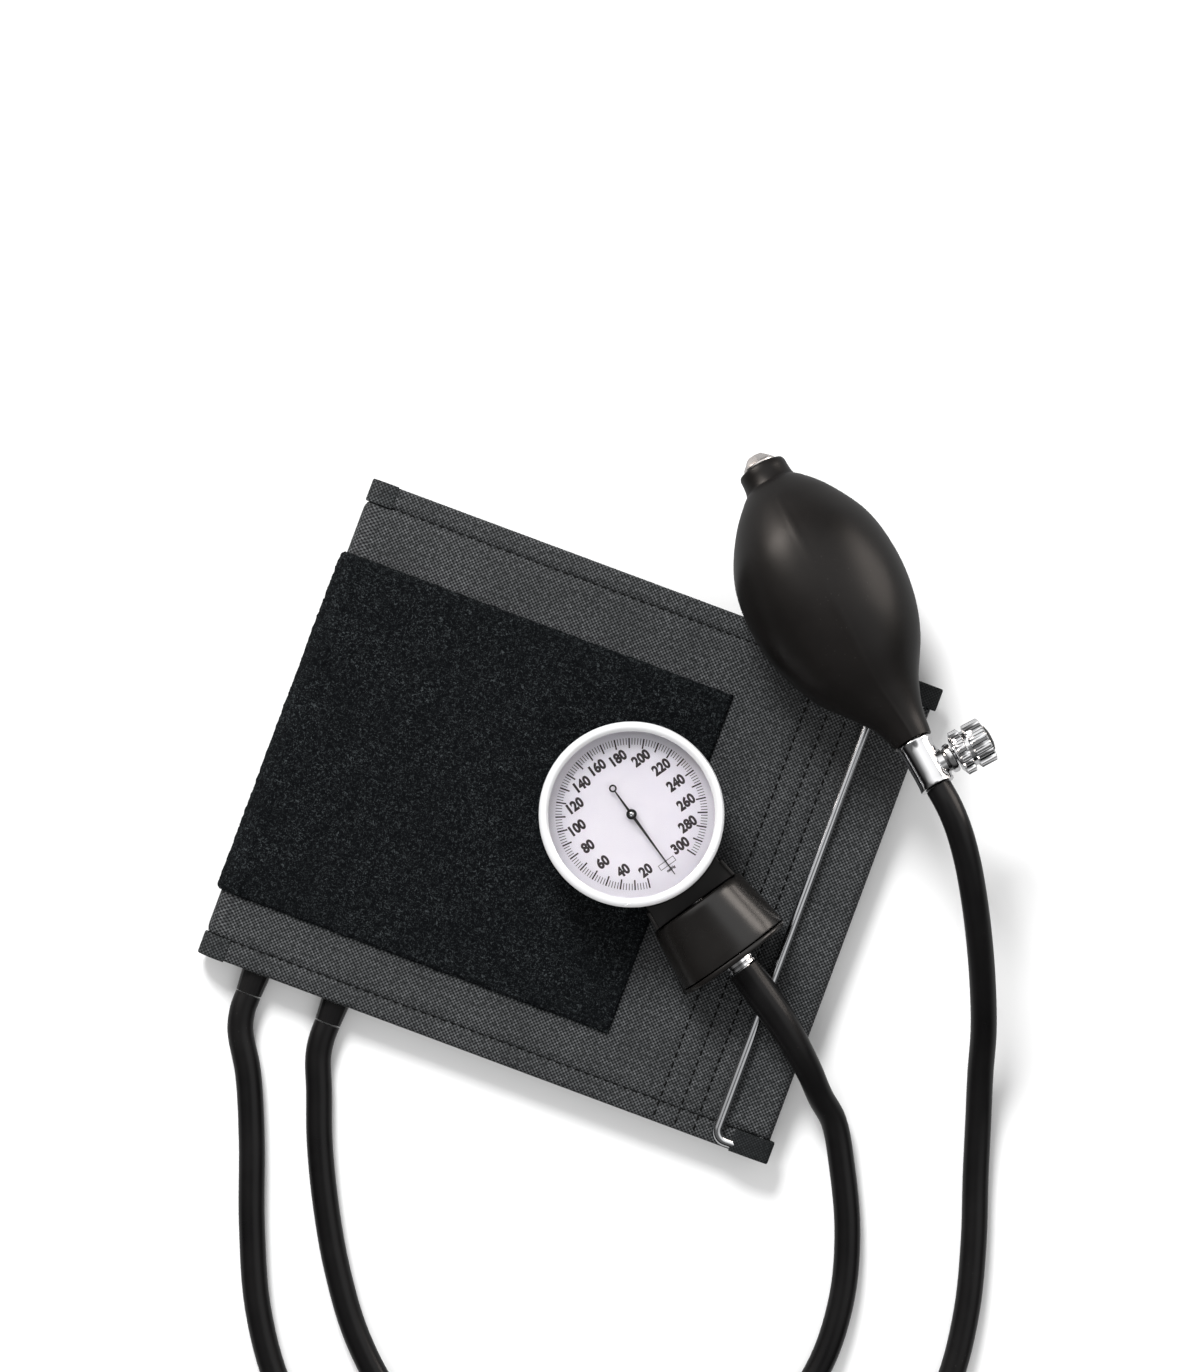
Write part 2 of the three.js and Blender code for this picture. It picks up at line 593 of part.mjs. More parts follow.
/** A stem with a ball chamber in it, open at both ends. */
function chamberLoop(stemRadius, from, to) {
  const middle = (from + to) / 2;
  const half = CHAMBER.length / 2;
  return [[CHAMBER.mouth, from], [stemRadius, from], [stemRadius, to], [CHAMBER.mouth, to],
    [CHAMBER.mouth, middle + half + 0.6], [CHAMBER.radius, middle + half],
    [CHAMBER.radius, middle - half], [CHAMBER.mouth, middle - half - 0.6], [CHAMBER.mouth, from]];
}

function inletValveBody() {
  const { start, end, radius, facets } = FLANGE;
  const stem = turned(chamberLoop(BULB.bore - 0.35, -1.3, 8), 16);
  const flange = turned([[CHAMBER.mouth, start], [radius - 1.6, start], [radius, start + 1.4], [radius, end],
    [CHAMBER.mouth, end], [CHAMBER.mouth, start]], facets);
  return carved(stem, [flange]);
}

const ballAt = (z) => new THREE.IcosahedronGeometry(CHAMBER.ball, 1).translate(0, 0, z);

/** The valve's barrel with a stem in the bulb's neck, a side boss and the spindle's bore. */
function valveBody() {
  const { start, end, radius, spindleAt, boss, bore, rim } = VALVE;
  const stem = turned(chamberLoop(BULB.bore - 0.35, 81, start + 1), 16);
  const barrel = turned([[CHAMBER.mouth, start], [radius + rim, start], [radius + rim, start + 1.6],
    [radius, start + 2], [radius, end - 2], [radius + rim, end - 1.6], [radius + rim, end - 0.4],
    [radius - rim, end], [CHAMBER.mouth, end], [CHAMBER.mouth, start]], 24);
  const sideBoss = barX(4.1, 2.5, boss, 0, spindleAt, 24);
  const spindleBore = barX(2.4, -bore, boss + 1, 0, spindleAt, 20);
  return carved(barrel, [stem, sideBoss], [spindleBore]);
}

/** The spindle with its pointed end on the seat. */
function valveNeedle() {
  const end = KNOB.end - 2.4;
  const profile = [[0, -0.9], [1.1, 0.6], [2, 0.6], [2, 6.2], [1.6, 6.5], [1.6, end], [0, end]];
  return turned(profile, 20).rotateY(Math.PI / 2).translate(0, 0, VALVE.spindleAt);
}

/** A fluted disc about X between two places. */
function flutedBand(x0, x1) {
  const points = [];
  const perFlute = 4;
  for (let i = 0; i < KNOB.flutes * perFlute; i += 1) {
    const angle = (2 * Math.PI * i) / (KNOB.flutes * perFlute);
    const r = KNOB.radius - (i % perFlute === 0 ? 0.5 : 0);
    points.push(new THREE.Vector2(r * Math.cos(angle), r * Math.sin(angle)));
  }
  return plate(new THREE.Shape(points), x0, x1).rotateY(Math.PI / 2);
}

function valveKnob() {
  const { start, end, groove, recess } = KNOB;
  const core = barX(groove, start, end - 0.8, 0, 0, 24);
  const bands = [flutedBand(start + 0.6, start + 3.6), flutedBand(start + 4.6, end - 0.2)];
  const bore = barX(1.9, start - 1, end - 2, 0, 0, 20);
  const cupped = barX(recess, end - 2, end + 1, 0, 0, 28);
  return carved(core, bands, [bore, cupped]).translate(0, 0, VALVE.spindleAt);
}

function knobCap() {
  const { end, cap } = KNOB;
  const dome = turned([[0, end - 1.7], [cap, end - 1.7], [cap, end - 0.2], [0.8 * cap, end + 0.5],
    [0.4 * cap, end + 0.9], [0, end + 1]], 28);
  return dome.rotateY(Math.PI / 2).translate(0, 0, VALVE.spindleAt);
}

function bulbSet() {
  const group = new THREE.Group();
  group.quaternion.setFromRotationMatrix(bulbFrame);
  group.position.setFromMatrixPosition(bulbFrame);
  group.add(
    piece("bulb", bulb(), bulbRubber),
    piece("inlet_valve_body", inletValveBody(), steel),
    piece("inlet_valve_ball", ballAt(CHAMBER.inletBall), steel),
    piece("valve_body", valveBody(), chrome),
    piece("outlet_valve_ball", ballAt(CHAMBER.outletBall), steel),
    piece("valve_needle", valveNeedle(), steel),
    piece("valve_knob", valveKnob(), chrome),
    piece("knob_cap", knobCap(), blackPlastic),
  );
  return group;
}

// ---- hoses ------------------------------------------------------------------------------------------
// Both lie on the same surface as the cuff. Routes run from the instrument to the bladder's port.
const gaugeHoseRoute = [
  [61.3, -21.8, 17.9], [65, -24.3, 18.1], [70.5, -28, 18.5], [76.5, -32.2, 18.3], [83, -37.4, 16.8],
  [89, -42.8, 13.6], [94.6, -48.6, 9.6], [100.9, -54.1, 5.8], [107.7, -65.5, 4.1], [115.4, -81.8, 3.9],
  [120.6, -100.1, 3.9], [121.6, -120, 3.9], [116.9, -138.9, 3.9], [105.9, -155.2, 3.9],
  [90.4, -167.9, 3.9], [71.4, -177.1, 3.9], [50.8, -182.1, 3.9], [30.1, -180.8, 3.9],
  [11.1, -172.9, 3.9], [-4.5, -159.5, 3.9], [-17.1, -142.8, 3.9], [-27.1, -125.6, 3.9],
  [-34.6, -110, 3.9], [-39.6, -97, 3.9], [-43.1, -88.2, 4.2], [-44, -82.8, 4.5], [-44, -78.3, 4.5],
];
const bulbHoseRoute = [
  [93.24, 45.34, 42.37], [97.4, 41.7, 43.6], [102, 36.8, 43.8], [107.4, 29.6, 42.2],
  [113.2, 20.4, 38.4], [119.4, 9.4, 32.4], [125.4, -2.4, 24.8], [130.8, -14.6, 17],
  [134.8, -26.6, 10.4], [139.4, -39.8, 5.9], [144.4, -55, 4.1], [150.2, -72.1, 3.9],
  [155.3, -91.5, 3.9], [157.6, -112, 3.9], [155.3, -133.1, 3.9], [147, -153.8, 3.9],
  [132.3, -171.6, 3.9], [112.2, -186.5, 3.9], [88.7, -197.9, 3.9], [63.6, -205.1, 3.9],
  [38.9, -207.4, 3.9], [15.2, -203.9, 3.9], [-5.6, -194, 3.9], [-21.7, -179.2, 3.9],
  [-34.4, -161, 3.9], [-44.2, -139.5, 3.9], [-52.6, -117, 3.9], [-60.2, -99.5, 3.9],
  [-66.6, -88.6, 4.2], [-68, -82.8, 4.5], [-68, -78.3, 4.5],
];

const hoseCurve = (route) =>
  new THREE.CatmullRomCurve3(route.map((point) => new THREE.Vector3(...point)), false, "centripetal");

function hose(route) {
  const curve = hoseCurve(route);
  const section = new THREE.Shape();
  section.absarc(0, 0, HOSE.radius, 0, 2 * Math.PI, false);
  const steps = Math.min(HOSE.mostSteps, Math.ceil(curve.getLength() / HOSE.step));
  return new THREE.ExtrudeGeometry(section, {
    steps, bevelEnabled: false, curveSegments: HOSE.sides / 2, extrudePath: curve,
  });
}

// ---- the whole object -------------------------------------------------------------------------------
const cuffSet = new THREE.Group();
cuffSet.add(
  cuff(),
  gauge(),
  bulbSet(),
  piece("gauge_hose", hose(gaugeHoseRoute), hoseRubber),
  piece("bulb_hose", hose(bulbHoseRoute), hoseRubber),
);

export default cuffSet;
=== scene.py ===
"""A rolled blood pressure cuff with its dial gauge, hand bulb, release valve and two hoses."""
import json
import logging
import math
from dataclasses import dataclass, field
from enum import Enum
from typing import Callable, Iterable, Sequence

import bmesh
import bpy
import numpy as np
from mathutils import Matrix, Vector, noise
from mathutils.bvhtree import BVHTree


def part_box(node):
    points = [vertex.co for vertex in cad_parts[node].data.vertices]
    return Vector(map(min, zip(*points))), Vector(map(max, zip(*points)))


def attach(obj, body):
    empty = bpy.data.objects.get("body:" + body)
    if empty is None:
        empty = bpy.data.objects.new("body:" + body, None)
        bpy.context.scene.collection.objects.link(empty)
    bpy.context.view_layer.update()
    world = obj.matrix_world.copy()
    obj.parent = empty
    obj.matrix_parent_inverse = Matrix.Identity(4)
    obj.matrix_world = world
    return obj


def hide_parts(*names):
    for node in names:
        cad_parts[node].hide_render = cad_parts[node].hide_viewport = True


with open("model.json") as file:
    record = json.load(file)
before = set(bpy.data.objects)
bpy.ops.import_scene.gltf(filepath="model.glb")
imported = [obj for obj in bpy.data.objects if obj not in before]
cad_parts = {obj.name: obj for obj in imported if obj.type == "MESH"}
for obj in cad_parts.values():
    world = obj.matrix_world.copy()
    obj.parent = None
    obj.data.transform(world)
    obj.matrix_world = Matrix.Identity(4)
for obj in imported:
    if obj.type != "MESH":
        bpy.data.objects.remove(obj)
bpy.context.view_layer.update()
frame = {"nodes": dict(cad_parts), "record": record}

LOG = logging.getLogger("cuff")
MM = 0.001
UP = np.array([0.0, 0.0, 1.0])


def box_mm(node: str) -> tuple[np.ndarray, np.ndarray]:
    """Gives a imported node's box.

    Args:
        node: The node's name.

    Returns:
        Its lowest and highest corners, in millimetres.
    """
    low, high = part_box(node)
    return np.array(low) / MM, np.array(high) / MM


def joint(name: str) -> dict:
    """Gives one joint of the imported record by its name."""
    return next(j for j in frame["record"]["behaviour"]["joints"] if j["name"] == name)


@dataclass(frozen=True)
class Place:
    """A local frame: its origin in millimetres and its three axes as the rows of a matrix."""

    origin: np.ndarray
    axes: np.ndarray

    def world(self, points: np.ndarray) -> np.ndarray:
        """Takes local points to the object's frame."""
        return self.origin + np.asarray(points, float) @ self.axes

    @staticmethod
    def gauge() -> "Place":
        """Local +Z up the dial's axis from the case's floor, +X along the stem.

        Returns:
            The gauge's place.
        """
        along = np.array(joint("rocker_tilt")["axis"], float)
        origin = np.array(joint("pointer_turn")["pos_m"], float) / MM
        origin[2] = box_mm("gauge_housing")[0][2]
        return Place(origin, np.array([along, np.cross(UP, along), UP]))

    @staticmethod
    def bulb() -> "Place":
        """Local +Z along the bulb from its inlet end, +X along the valve's spindle.

        Returns:
            The bulb's place.
        """
        along = np.array(joint("inlet_ball_lift")["axis"], float)
        across = np.array(joint("knob_turn")["axis"], float)
        knob = np.array(joint("knob_turn")["pos_m"], float) / MM
        origin = knob - ReleaseValve.knob_pivot * across - ReleaseValve.spindle_at * along
        return Place(origin, np.array([across, np.cross(along, across), along]))


# ---- meshes --------------------------------------------------------------------------------------


@dataclass
class Shape:
    """Corners in millimetres and the faces between them, with texture places where they matter."""

    verts: np.ndarray
    faces: list[tuple[int, ...]]
    uvs: np.ndarray | None = None

    def placed(self, place: Place) -> "Shape":
        """The same shape in the object's frame."""
        return Shape(place.world(self.verts), self.faces, self.uvs)

    def turned(self, turn: np.ndarray, move: Sequence[float] = (0, 0, 0)) -> "Shape":
        """The shape turned by a matrix of rows and then moved."""
        return Shape(self.verts @ turn + np.array(move, float), self.faces, self.uvs)

    def moved(self, x: float = 0, y: float = 0, z: float = 0) -> "Shape":
        """The shape moved along its axes."""
        return Shape(self.verts + np.array([x, y, z]), self.faces, self.uvs)

    @staticmethod
    def joined(shapes: Iterable["Shape"]) -> "Shape":
        """All shapes as one.

        Args:
            shapes: The shapes, each with its own corners.

        Returns:
            One shape that holds them all.
        """
        verts: list[np.ndarray] = []
        faces: list[tuple[int, ...]] = []
        start = 0
        for shape in shapes:
            verts.append(shape.verts)
            faces += [tuple(i + start for i in face) for face in shape.faces]
            start += len(shape.verts)
        return Shape(np.concatenate(verts), faces)


TO_X = np.array([[0.0, 0.0, -1.0], [0.0, 1.0, 0.0], [1.0, 0.0, 0.0]])  # local Z laid along +X


def make_object(
    name: str,
    shape: Shape,
    material: bpy.types.Material,
    sharp: float = 35,
    bevel: float = 0,
) -> bpy.types.Object:
    """Makes a smooth-shaded mesh object with outward faces.

    Args:
        name: The piece's name.
        shape: Its corners and faces, in millimetres.
        material: Its finish.
        sharp: Edges over this angle, in degrees, stay sharp.
        bevel: Width of the rounding of sharp edges, in millimetres.

    Returns:
        The object, in metres, linked to the scene.
    """
    mesh = bpy.data.meshes.new(name)
    mesh.from_pydata((shape.verts * MM).tolist(), [], shape.faces)
    if shape.uvs is not None:
        layer = mesh.uv_layers.new(name="Cloth")
        corner_verts = np.empty(len(mesh.loops), np.int32)
        mesh.loops.foreach_get("vertex_index", corner_verts)
        layer.data.foreach_set("uv", (shape.uvs[corner_verts] * MM).astype(np.float32).ravel())
    work = bmesh.new()
    work.from_mesh(mesh)
    bmesh.ops.recalc_face_normals(work, faces=work.faces)
    work.to_mesh(mesh)
    work.free()
    mesh.polygons.foreach_set("use_smooth", [True] * len(mesh.polygons))
    mesh.set_sharp_from_angle(angle=math.radians(sharp))
    mesh.materials.append(material)
    made = bpy.data.objects.new(name, mesh)
    bpy.context.scene.collection.objects.link(made)
    if bevel:
        rounding = made.modifiers.new("Rounding", "BEVEL")
        rounding.width = bevel * MM
        rounding.segments = 3
        rounding.limit_method = "ANGLE"
        rounding.angle_limit = math.radians(sharp)
    return made


def stand_for(made: bpy.types.Object, node: str, body: str = "cuff", replaces: bool = True) -> None:
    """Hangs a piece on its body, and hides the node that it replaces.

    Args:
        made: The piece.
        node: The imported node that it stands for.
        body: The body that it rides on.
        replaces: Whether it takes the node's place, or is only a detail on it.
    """
    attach(made, body)
    if replaces:
        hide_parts(node)


def lathe(profile: Sequence[tuple[float, float]], segments: int = 96) -> Shape:
    """Turns a profile about Z.

    Args:
        profile: (radius, height) points, from axis to axis or closing on themselves.
        segments: Steps round the axis.

    Returns:
        The closed shape.
    """
    points = list(profile)
    loops = points[0] == points[-1]
    if loops:
        points = points[:-1]
    rings: list[list[int]] = []
    verts: list[tuple[float, float, float]] = []
    for radius, height in points:
        count = 1 if radius < 1e-6 else segments
        rings.append(list(range(len(verts), len(verts) + count)))
        for k in range(count):
            angle = 2 * math.pi * k / segments
            verts.append((radius * math.cos(angle), radius * math.sin(angle), height))
    faces: list[tuple[int, ...]] = []
    last = len(rings) if loops else len(rings) - 1
    for i in range(last):
        a, b = rings[i], rings[(i + 1) % len(rings)]
        for k in range(segments):
            quad = (a[k % len(a)], a[(k + 1) % len(a)], b[(k + 1) % len(b)], b[k % len(b)])
            corners = tuple(dict.fromkeys(quad))
            if len(corners) > 2:
                faces.append(corners)
    return Shape(np.array(verts), faces)


def prism(outline: Sequence[tuple[float, float]], bottom: float, top: float) -> Shape:
    """A flat plate of an XY outline between two heights.

    Args:
        outline: Its (x, y) corners in order.
        bottom: Height of its underside.
        top: Height of its upper side.

    Returns:
        The closed plate.
    """
    count = len(outline)
    verts = [(x, y, z) for z in (bottom, top) for x, y in outline]
    sides = [(i, (i + 1) % count, count + (i + 1) % count, count + i) for i in range(count)]
    caps = [tuple(reversed(range(count))), tuple(range(count, 2 * count))]
    return Shape(np.array(verts, float), sides + caps)


def sweep(path: np.ndarray, radius: float | np.ndarray, sides: int = 20, loop: bool = False) -> Shape:
    """A round bar along a path.

    Args:
        path: The points that it follows, in millimetres.
        radius: Its radius, one or one for each point.
        sides: Corners of its section.
        loop: Whether the path closes on itself.

    Returns:
        The closed shape.
    """
    count = len(path)
    if loop:
        along = np.roll(path, -1, 0) - np.roll(path, 1, 0)
    else:
        along = np.gradient(path, axis=0)
    along /= np.linalg.norm(along, axis=1)[:, None]
    side = np.cross(along[0], UP)
    if np.linalg.norm(side) < 1e-3:
        side = np.array([1.0, 0.0, 0.0])
    radii = np.broadcast_to(np.asarray(radius, float), (count,))
    angles = 2 * math.pi * np.arange(sides) / sides
    verts = []
    for i in range(count):
        side = side - along[i] * (side @ along[i])
        side /= np.linalg.norm(side)
        other = np.cross(along[i], side)
        ring = np.cos(angles)[:, None] * side + np.sin(angles)[:, None] * other
        verts.append(path[i] + radii[i] * ring)
    faces: list[tuple[int, ...]] = []
    for i in range(count if loop else count - 1):
        a, b = i * sides, ((i + 1) % count) * sides
        faces += [(a + k, a + (k + 1) % sides, b + (k + 1) % sides, b + k) for k in range(sides)]
    if not loop:
        faces += [tuple(range(sides)), tuple(reversed(range((count - 1) * sides, count * sides)))]
    return Shape(np.concatenate(verts), faces)


def arc(cx: float, cy: float, radius: float, start: float, end: float, steps: int) -> list:
    """Points of an arc about (cx, cy) from start to end, in degrees."""
    angles = np.radians(np.linspace(start, end, steps + 1))
    return [(cx + radius * math.cos(a), cy + radius * math.sin(a)) for a in angles]


def smooth_step(value: np.ndarray | float, low: float, high: float) -> np.ndarray:
    """0 below low, 1 above high, and smooth between."""
    t = np.clip((np.asarray(value, float) - low) / (high - low), 0, 1)
    return t * t * (3 - 2 * t)


def hills(points: np.ndarray, size: float, seed: float, octaves: int = 3) -> np.ndarray:
    """Smooth noise of about -1 to 1 over points, with hills of that size in millimetres.

    Args:
        points: Where the noise is taken, one row each.
        size: Width of its hills, in millimetres.
        seed: Moves the hills elsewhere, for a pattern of its own.
        octaves: How many finer layers lie on the first.

    Returns:
        One height for each point.
    """
    found = [
        noise.fractal(Vector((x / size + seed, y / size - seed, z / size)), 0.8, 2.1, octaves)
        for x, y, z in points
    ]
    return np.array(found)


# ---- shader nodes --------------------------------------------------------------------------------


class Graph:
    """Adds nodes to one tree and links them."""

    def __init__(self, tree: bpy.types.NodeTree) -> None:
        """Keeps the tree that the nodes go into."""
        self.tree = tree

    def add(self, kind: str, inputs: dict | None = None, **settings: object) -> bpy.types.Node:
        """Adds one node.

        Args:
            kind: The node's type, without the ShaderNode prefix.
            inputs: Socket name or index to a value, or to the output that feeds it.
            settings: Properties of the node itself.

        Returns:
            The node.
        """
        node = self.tree.nodes.new("ShaderNode" + kind)
        for key, value in settings.items():
            setattr(node, key, value)
        for key, value in (inputs or {}).items():
            socket = node.inputs[key]
            if isinstance(value, bpy.types.NodeSocket):
                self.tree.links.new(value, socket)
            else:
                socket.default_value = value
        return node

    def math(self, operation: str, a: object, b: object = 0.5, clamp: bool = False) -> object:
        """The output of a Math node."""
        return self.add("Math", {0: a, 1: b}, operation=operation, use_clamp=clamp).outputs[0]

    def mix(self, factor: object, a: object, b: object) -> object:
        """The output of a Mix node for colours."""
        node = self.add("Mix", {0: factor, 6: a, 7: b}, data_type="RGBA")
        return node.outputs[2]

    def spread(self, value: object, low: float, high: float, out_low: float, out_high: float) -> object:
        """The value moved from one range to another, and held within it."""
        inputs = {"Value": value, "From Min": low, "From Max": high, "To Min": out_low, "To Max": out_high}
        return self.add("MapRange", inputs).outputs[0]

    def group(self, tree: bpy.types.NodeTree, inputs: dict) -> bpy.types.Node:
        """Places a node group.

        Args:
            tree: The group's tree.
            inputs: Socket name to a value, or to the output that feeds it.

        Returns:
            The node that holds the group.
        """
        node = self.tree.nodes.new("ShaderNodeGroup")
        node.node_tree = tree
        for key, value in inputs.items():
            if isinstance(value, bpy.types.NodeSocket):
                self.tree.links.new(value, node.inputs[key])
            else:
                node.inputs[key].default_value = value
        return node


class Effect(Enum):
    """The shared material effects."""

    WEAVE = "Weave"
    PILE = "Pile"
    GRAIN = "Grain"
    WEAR = "Wear"


def new_group(name: str, inputs: dict[str, float | None], outputs: dict[str, str]) -> tuple:
    """Starts a shader node group.

    Args:
        name: The group's name.
        inputs: Input names with their default values, None for a vector.
        outputs: Output names with their socket types.

    Returns:
        The tree, its Graph, its input node and its output node.
    """
    tree = bpy.data.node_groups.new(name, "ShaderNodeTree")
    for label, default in inputs.items():
        kind = "NodeSocketVector" if default is None else "NodeSocketFloat"
        socket = tree.interface.new_socket(name=label, in_out="INPUT", socket_type=kind)
        if default is not None:
            socket.default_value = default
    for label, kind in outputs.items():
        tree.interface.new_socket(name=label, in_out="OUTPUT", socket_type=kind)
    return tree, Graph(tree), tree.nodes.new("NodeGroupInput"), tree.nodes.new("NodeGroupOutput")


def weave_group() -> bpy.types.NodeTree:
    """Crossing threads: their height, and a mask of the ones that catch the light.

    Returns:
        The node group.
    """
    tree, g, ins, outs = new_group(
        Effect.WEAVE.value,
        {"Vector": None, "Pitch": 0.0008, "Unevenness": 0.35},
        {"Height": "NodeSocketFloat", "Glint": "NodeSocketFloat", "Shade": "NodeSocketFloat"},
    )
    jitter = g.add("TexNoise", {"Vector": ins.outputs["Vector"], "Scale": 420.0, "Detail": 1.0})
    reach = g.math("MULTIPLY", ins.outputs["Unevenness"], ins.outputs["Pitch"])
    wobble = g.math("MULTIPLY", jitter.outputs["Fac"], reach)
    parts = g.add("SeparateXYZ", {0: ins.outputs["Vector"]})
    rate = g.math("DIVIDE", math.pi, ins.outputs["Pitch"])
    waves = []
    for axis in (0, 1):
        shifted = g.math("ADD", parts.outputs[axis], wobble)
        waves.append(g.math("SINE", g.math("MULTIPLY", shifted, rate), 0))
    over = g.math("MULTIPLY", waves[0], waves[1])
    crown = [g.math("SUBTRACT", 1.0, g.math("MULTIPLY", wave, wave)) for wave in waves]
    side = g.math("GREATER_THAN", over, 0.0)
    height = g.add("Mix", {0: side, 2: crown[0], 3: crown[1]}).outputs[0]
    fine = g.add("TexNoise", {"Vector": ins.outputs["Vector"], "Scale": 900.0, "Detail": 1.0})
    strength = g.math("SQRT", g.math("ABSOLUTE", over, 0.0), 0.0)
    lit = g.math("MULTIPLY", g.math("SIGN", over, 0.0), strength)
    threads = g.spread(lit, -0.7, 0.9, 0.0, 1.0)
    glint = g.math("MULTIPLY", threads, g.spread(fine.outputs["Fac"], 0.3, 0.7, 0.25, 1.0))
    broad = g.add("TexNoise", {"Vector": ins.outputs["Vector"], "Scale": 60.0, "Detail": 4.0})
    g.tree.links.new(height, outs.inputs["Height"])
    g.tree.links.new(glint, outs.inputs["Glint"])
    g.tree.links.new(broad.outputs["Fac"], outs.inputs["Shade"])
    return tree


def pile_group() -> bpy.types.NodeTree:
    """Brushed loops: their height, and a mask of the fibres that stand out.

    Returns:
        The node group.
    """
    tree, g, ins, outs = new_group(
        Effect.PILE.value,
        {"Vector": None, "Scale": 900.0},
        {"Height": "NodeSocketFloat", "Fibre": "NodeSocketFloat", "Shade": "NodeSocketFloat"},
    )
    curl = g.add("TexNoise", {"Vector": ins.outputs["Vector"], "Scale": ins.outputs["Scale"],
                              "Detail": 3.0, "Roughness": 0.7, "Distortion": 1.6})
    wider = g.math("MULTIPLY", ins.outputs["Scale"], 0.8)
    cells = g.add("TexVoronoi", {"Vector": ins.outputs["Vector"], "Scale": wider})
    tufts = g.math("SUBTRACT", 1.0, cells.outputs["Distance"])
    height = g.math("MULTIPLY", curl.outputs["Fac"], tufts)
    fibre = g.spread(curl.outputs["Fac"], 0.52, 0.74, 0.0, 1.0)
    broad = g.add("TexNoise", {"Vector": ins.outputs["Vector"], "Scale": 90.0, "Detail": 5.0,
                               "Roughness": 0.65})
    g.tree.links.new(height, outs.inputs["Height"])
    g.tree.links.new(fibre, outs.inputs["Fibre"])
    g.tree.links.new(broad.outputs["Fac"], outs.inputs["Shade"])
    return tree


def grain_group() -> bpy.types.NodeTree:
    """A moulded or rubbed skin: fine pits with broad patches of wear from hands.

    Returns:
        The node group.
    """
    tree, g, ins, outs = new_group(
        Effect.GRAIN.value,
        {"Vector": None, "Scale": 1800.0, "Patches": 35.0},
        {"Height": "NodeSocketFloat", "Patch": "NodeSocketFloat", "Speck": "NodeSocketFloat"},
    )
    fine = g.add("TexNoise", {"Vector": ins.outputs["Vector"], "Scale": ins.outputs["Scale"],
                              "Detail": 4.0})
    broad = g.add("TexNoise", {"Vector": ins.outputs["Vector"], "Scale": ins.outputs["Patches"],
                               "Detail": 5.0, "Roughness": 0.6})
    dust = g.add("TexVoronoi", {"Vector": ins.outputs["Vector"], "Scale": 700.0})
    speck = g.spread(dust.outputs["Distance"], 0.05, 0.12, 1.0, 0.0)
    seldom = g.spread(broad.outputs["Fac"], 0.55, 0.7, 0.0, 1.0)
    g.tree.links.new(fine.outputs["Fac"], outs.inputs["Height"])
    g.tree.links.new(broad.outputs["Fac"], outs.inputs["Patch"])
    g.tree.links.new(g.math("MULTIPLY", speck, seldom), outs.inputs["Speck"])
    return tree


def wear_group() -> bpy.types.NodeTree:
    """Worn edges, hollows to be darkened as painted shade, and hair scratches, as masks.

    Returns:
        The node group.
    """
    tree, g, ins, outs = new_group(
        Effect.WEAR.value,
        {"Vector": None, "Amount": 0.5},
        {"Edge": "NodeSocketFloat", "Hollow": "NodeSocketFloat", "Scratch": "NodeSocketFloat",
         "Smear": "NodeSocketFloat"},
    )
    bend = g.add("NewGeometry").outputs["Pointiness"]
    breakup = g.add("TexNoise", {"Vector": ins.outputs["Vector"], "Scale": 260.0, "Detail": 4.0})
    edge = g.math("MULTIPLY", g.spread(bend, 0.52, 0.6, 0.0, 1.0), breakup.outputs["Fac"])
    hollow = g.spread(bend, 0.44, 0.495, 1.0, 0.0)
    stretched = g.add("Mapping", {"Vector": ins.outputs["Vector"], "Scale": (60.0, 2600.0, 900.0)})
    hair = g.add("TexNoise", {"Vector": stretched.outputs[0], "Scale": 1.0, "Detail": 2.0})
    smear = g.add("TexNoise", {"Vector": ins.outputs["Vector"], "Scale": 85.0, "Detail": 5.0,
                               "Roughness": 0.7})
    g.tree.links.new(g.math("MULTIPLY", edge, ins.outputs["Amount"]), outs.inputs["Edge"])
    g.tree.links.new(hollow, outs.inputs["Hollow"])
    g.tree.links.new(hair.outputs["Fac"], outs.inputs["Scratch"])
    g.tree.links.new(smear.outputs["Fac"], outs.inputs["Smear"])
    return tree


MAKERS: dict[Effect, Callable[[], bpy.types.NodeTree]] = {
    Effect.WEAVE: weave_group,
    Effect.PILE: pile_group,
    Effect.GRAIN: grain_group,
    Effect.WEAR: wear_group,
}


def effect(which: Effect) -> bpy.types.NodeTree:
    """The shared node group, built the first time that it is asked for."""
    return bpy.data.node_groups.get(which.value) or MAKERS[which]()


# ---- finishes ------------------------------------------------------------------------------------

Colour = tuple[float, float, float]
DUST: Colour = (0.2, 0.19, 0.18)
# Painted shade: the near-black colour that the hollows of metal pieces are darkened toward.
HOLLOW_SHADE: Colour = (0.02, 0.018, 0.018)


def rgba(colour: Colour) -> tuple[float, float, float, float]:
    """The colour with full alpha."""
    return (*colour, 1.0)


class Finish:
    """A finish that makes its own material, once."""

    name: str

    def material(self) -> bpy.types.Material:
        """Makes the material on first use.

        Returns:
            The material.
        """
        found = bpy.data.materials.get(self.name)
        if found:
            return found
        made = bpy.data.materials.new(self.name)
        made.use_nodes = True
        graph = Graph(made.node_tree)
        self.dress(graph, made.node_tree.nodes["Principled BSDF"])
        return made

    def dress(self, g: Graph, shader: bpy.types.Node) -> None:
        """Sets the shader's sockets. Each finish does its own.

        Args:
            g: The material's graph.
            shader: Its surface shader.
        """
        raise NotImplementedError

    @staticmethod
    def link(g: Graph, source: object, shader: bpy.types.Node, socket: str) -> None:
        """Feeds one of the shader's sockets."""
        g.tree.links.new(source, shader.inputs[socket])

    @staticmethod
    def raise_surface(g: Graph, shader: bpy.types.Node, height: object, depth: float) -> None:
        """Lets a height in millimetres of depth shape the surface."""
        bump = g.add("Bump", {"Height": height, "Strength": 1.0, "Distance": depth * MM})
        g.tree.links.new(bump.outputs[0], shader.inputs["Normal"])

    @staticmethod
    def where(g: Graph, kind: str = "Object") -> object:
        """The piece's own coordinates."""
        return g.add("TexCoord").outputs[kind]


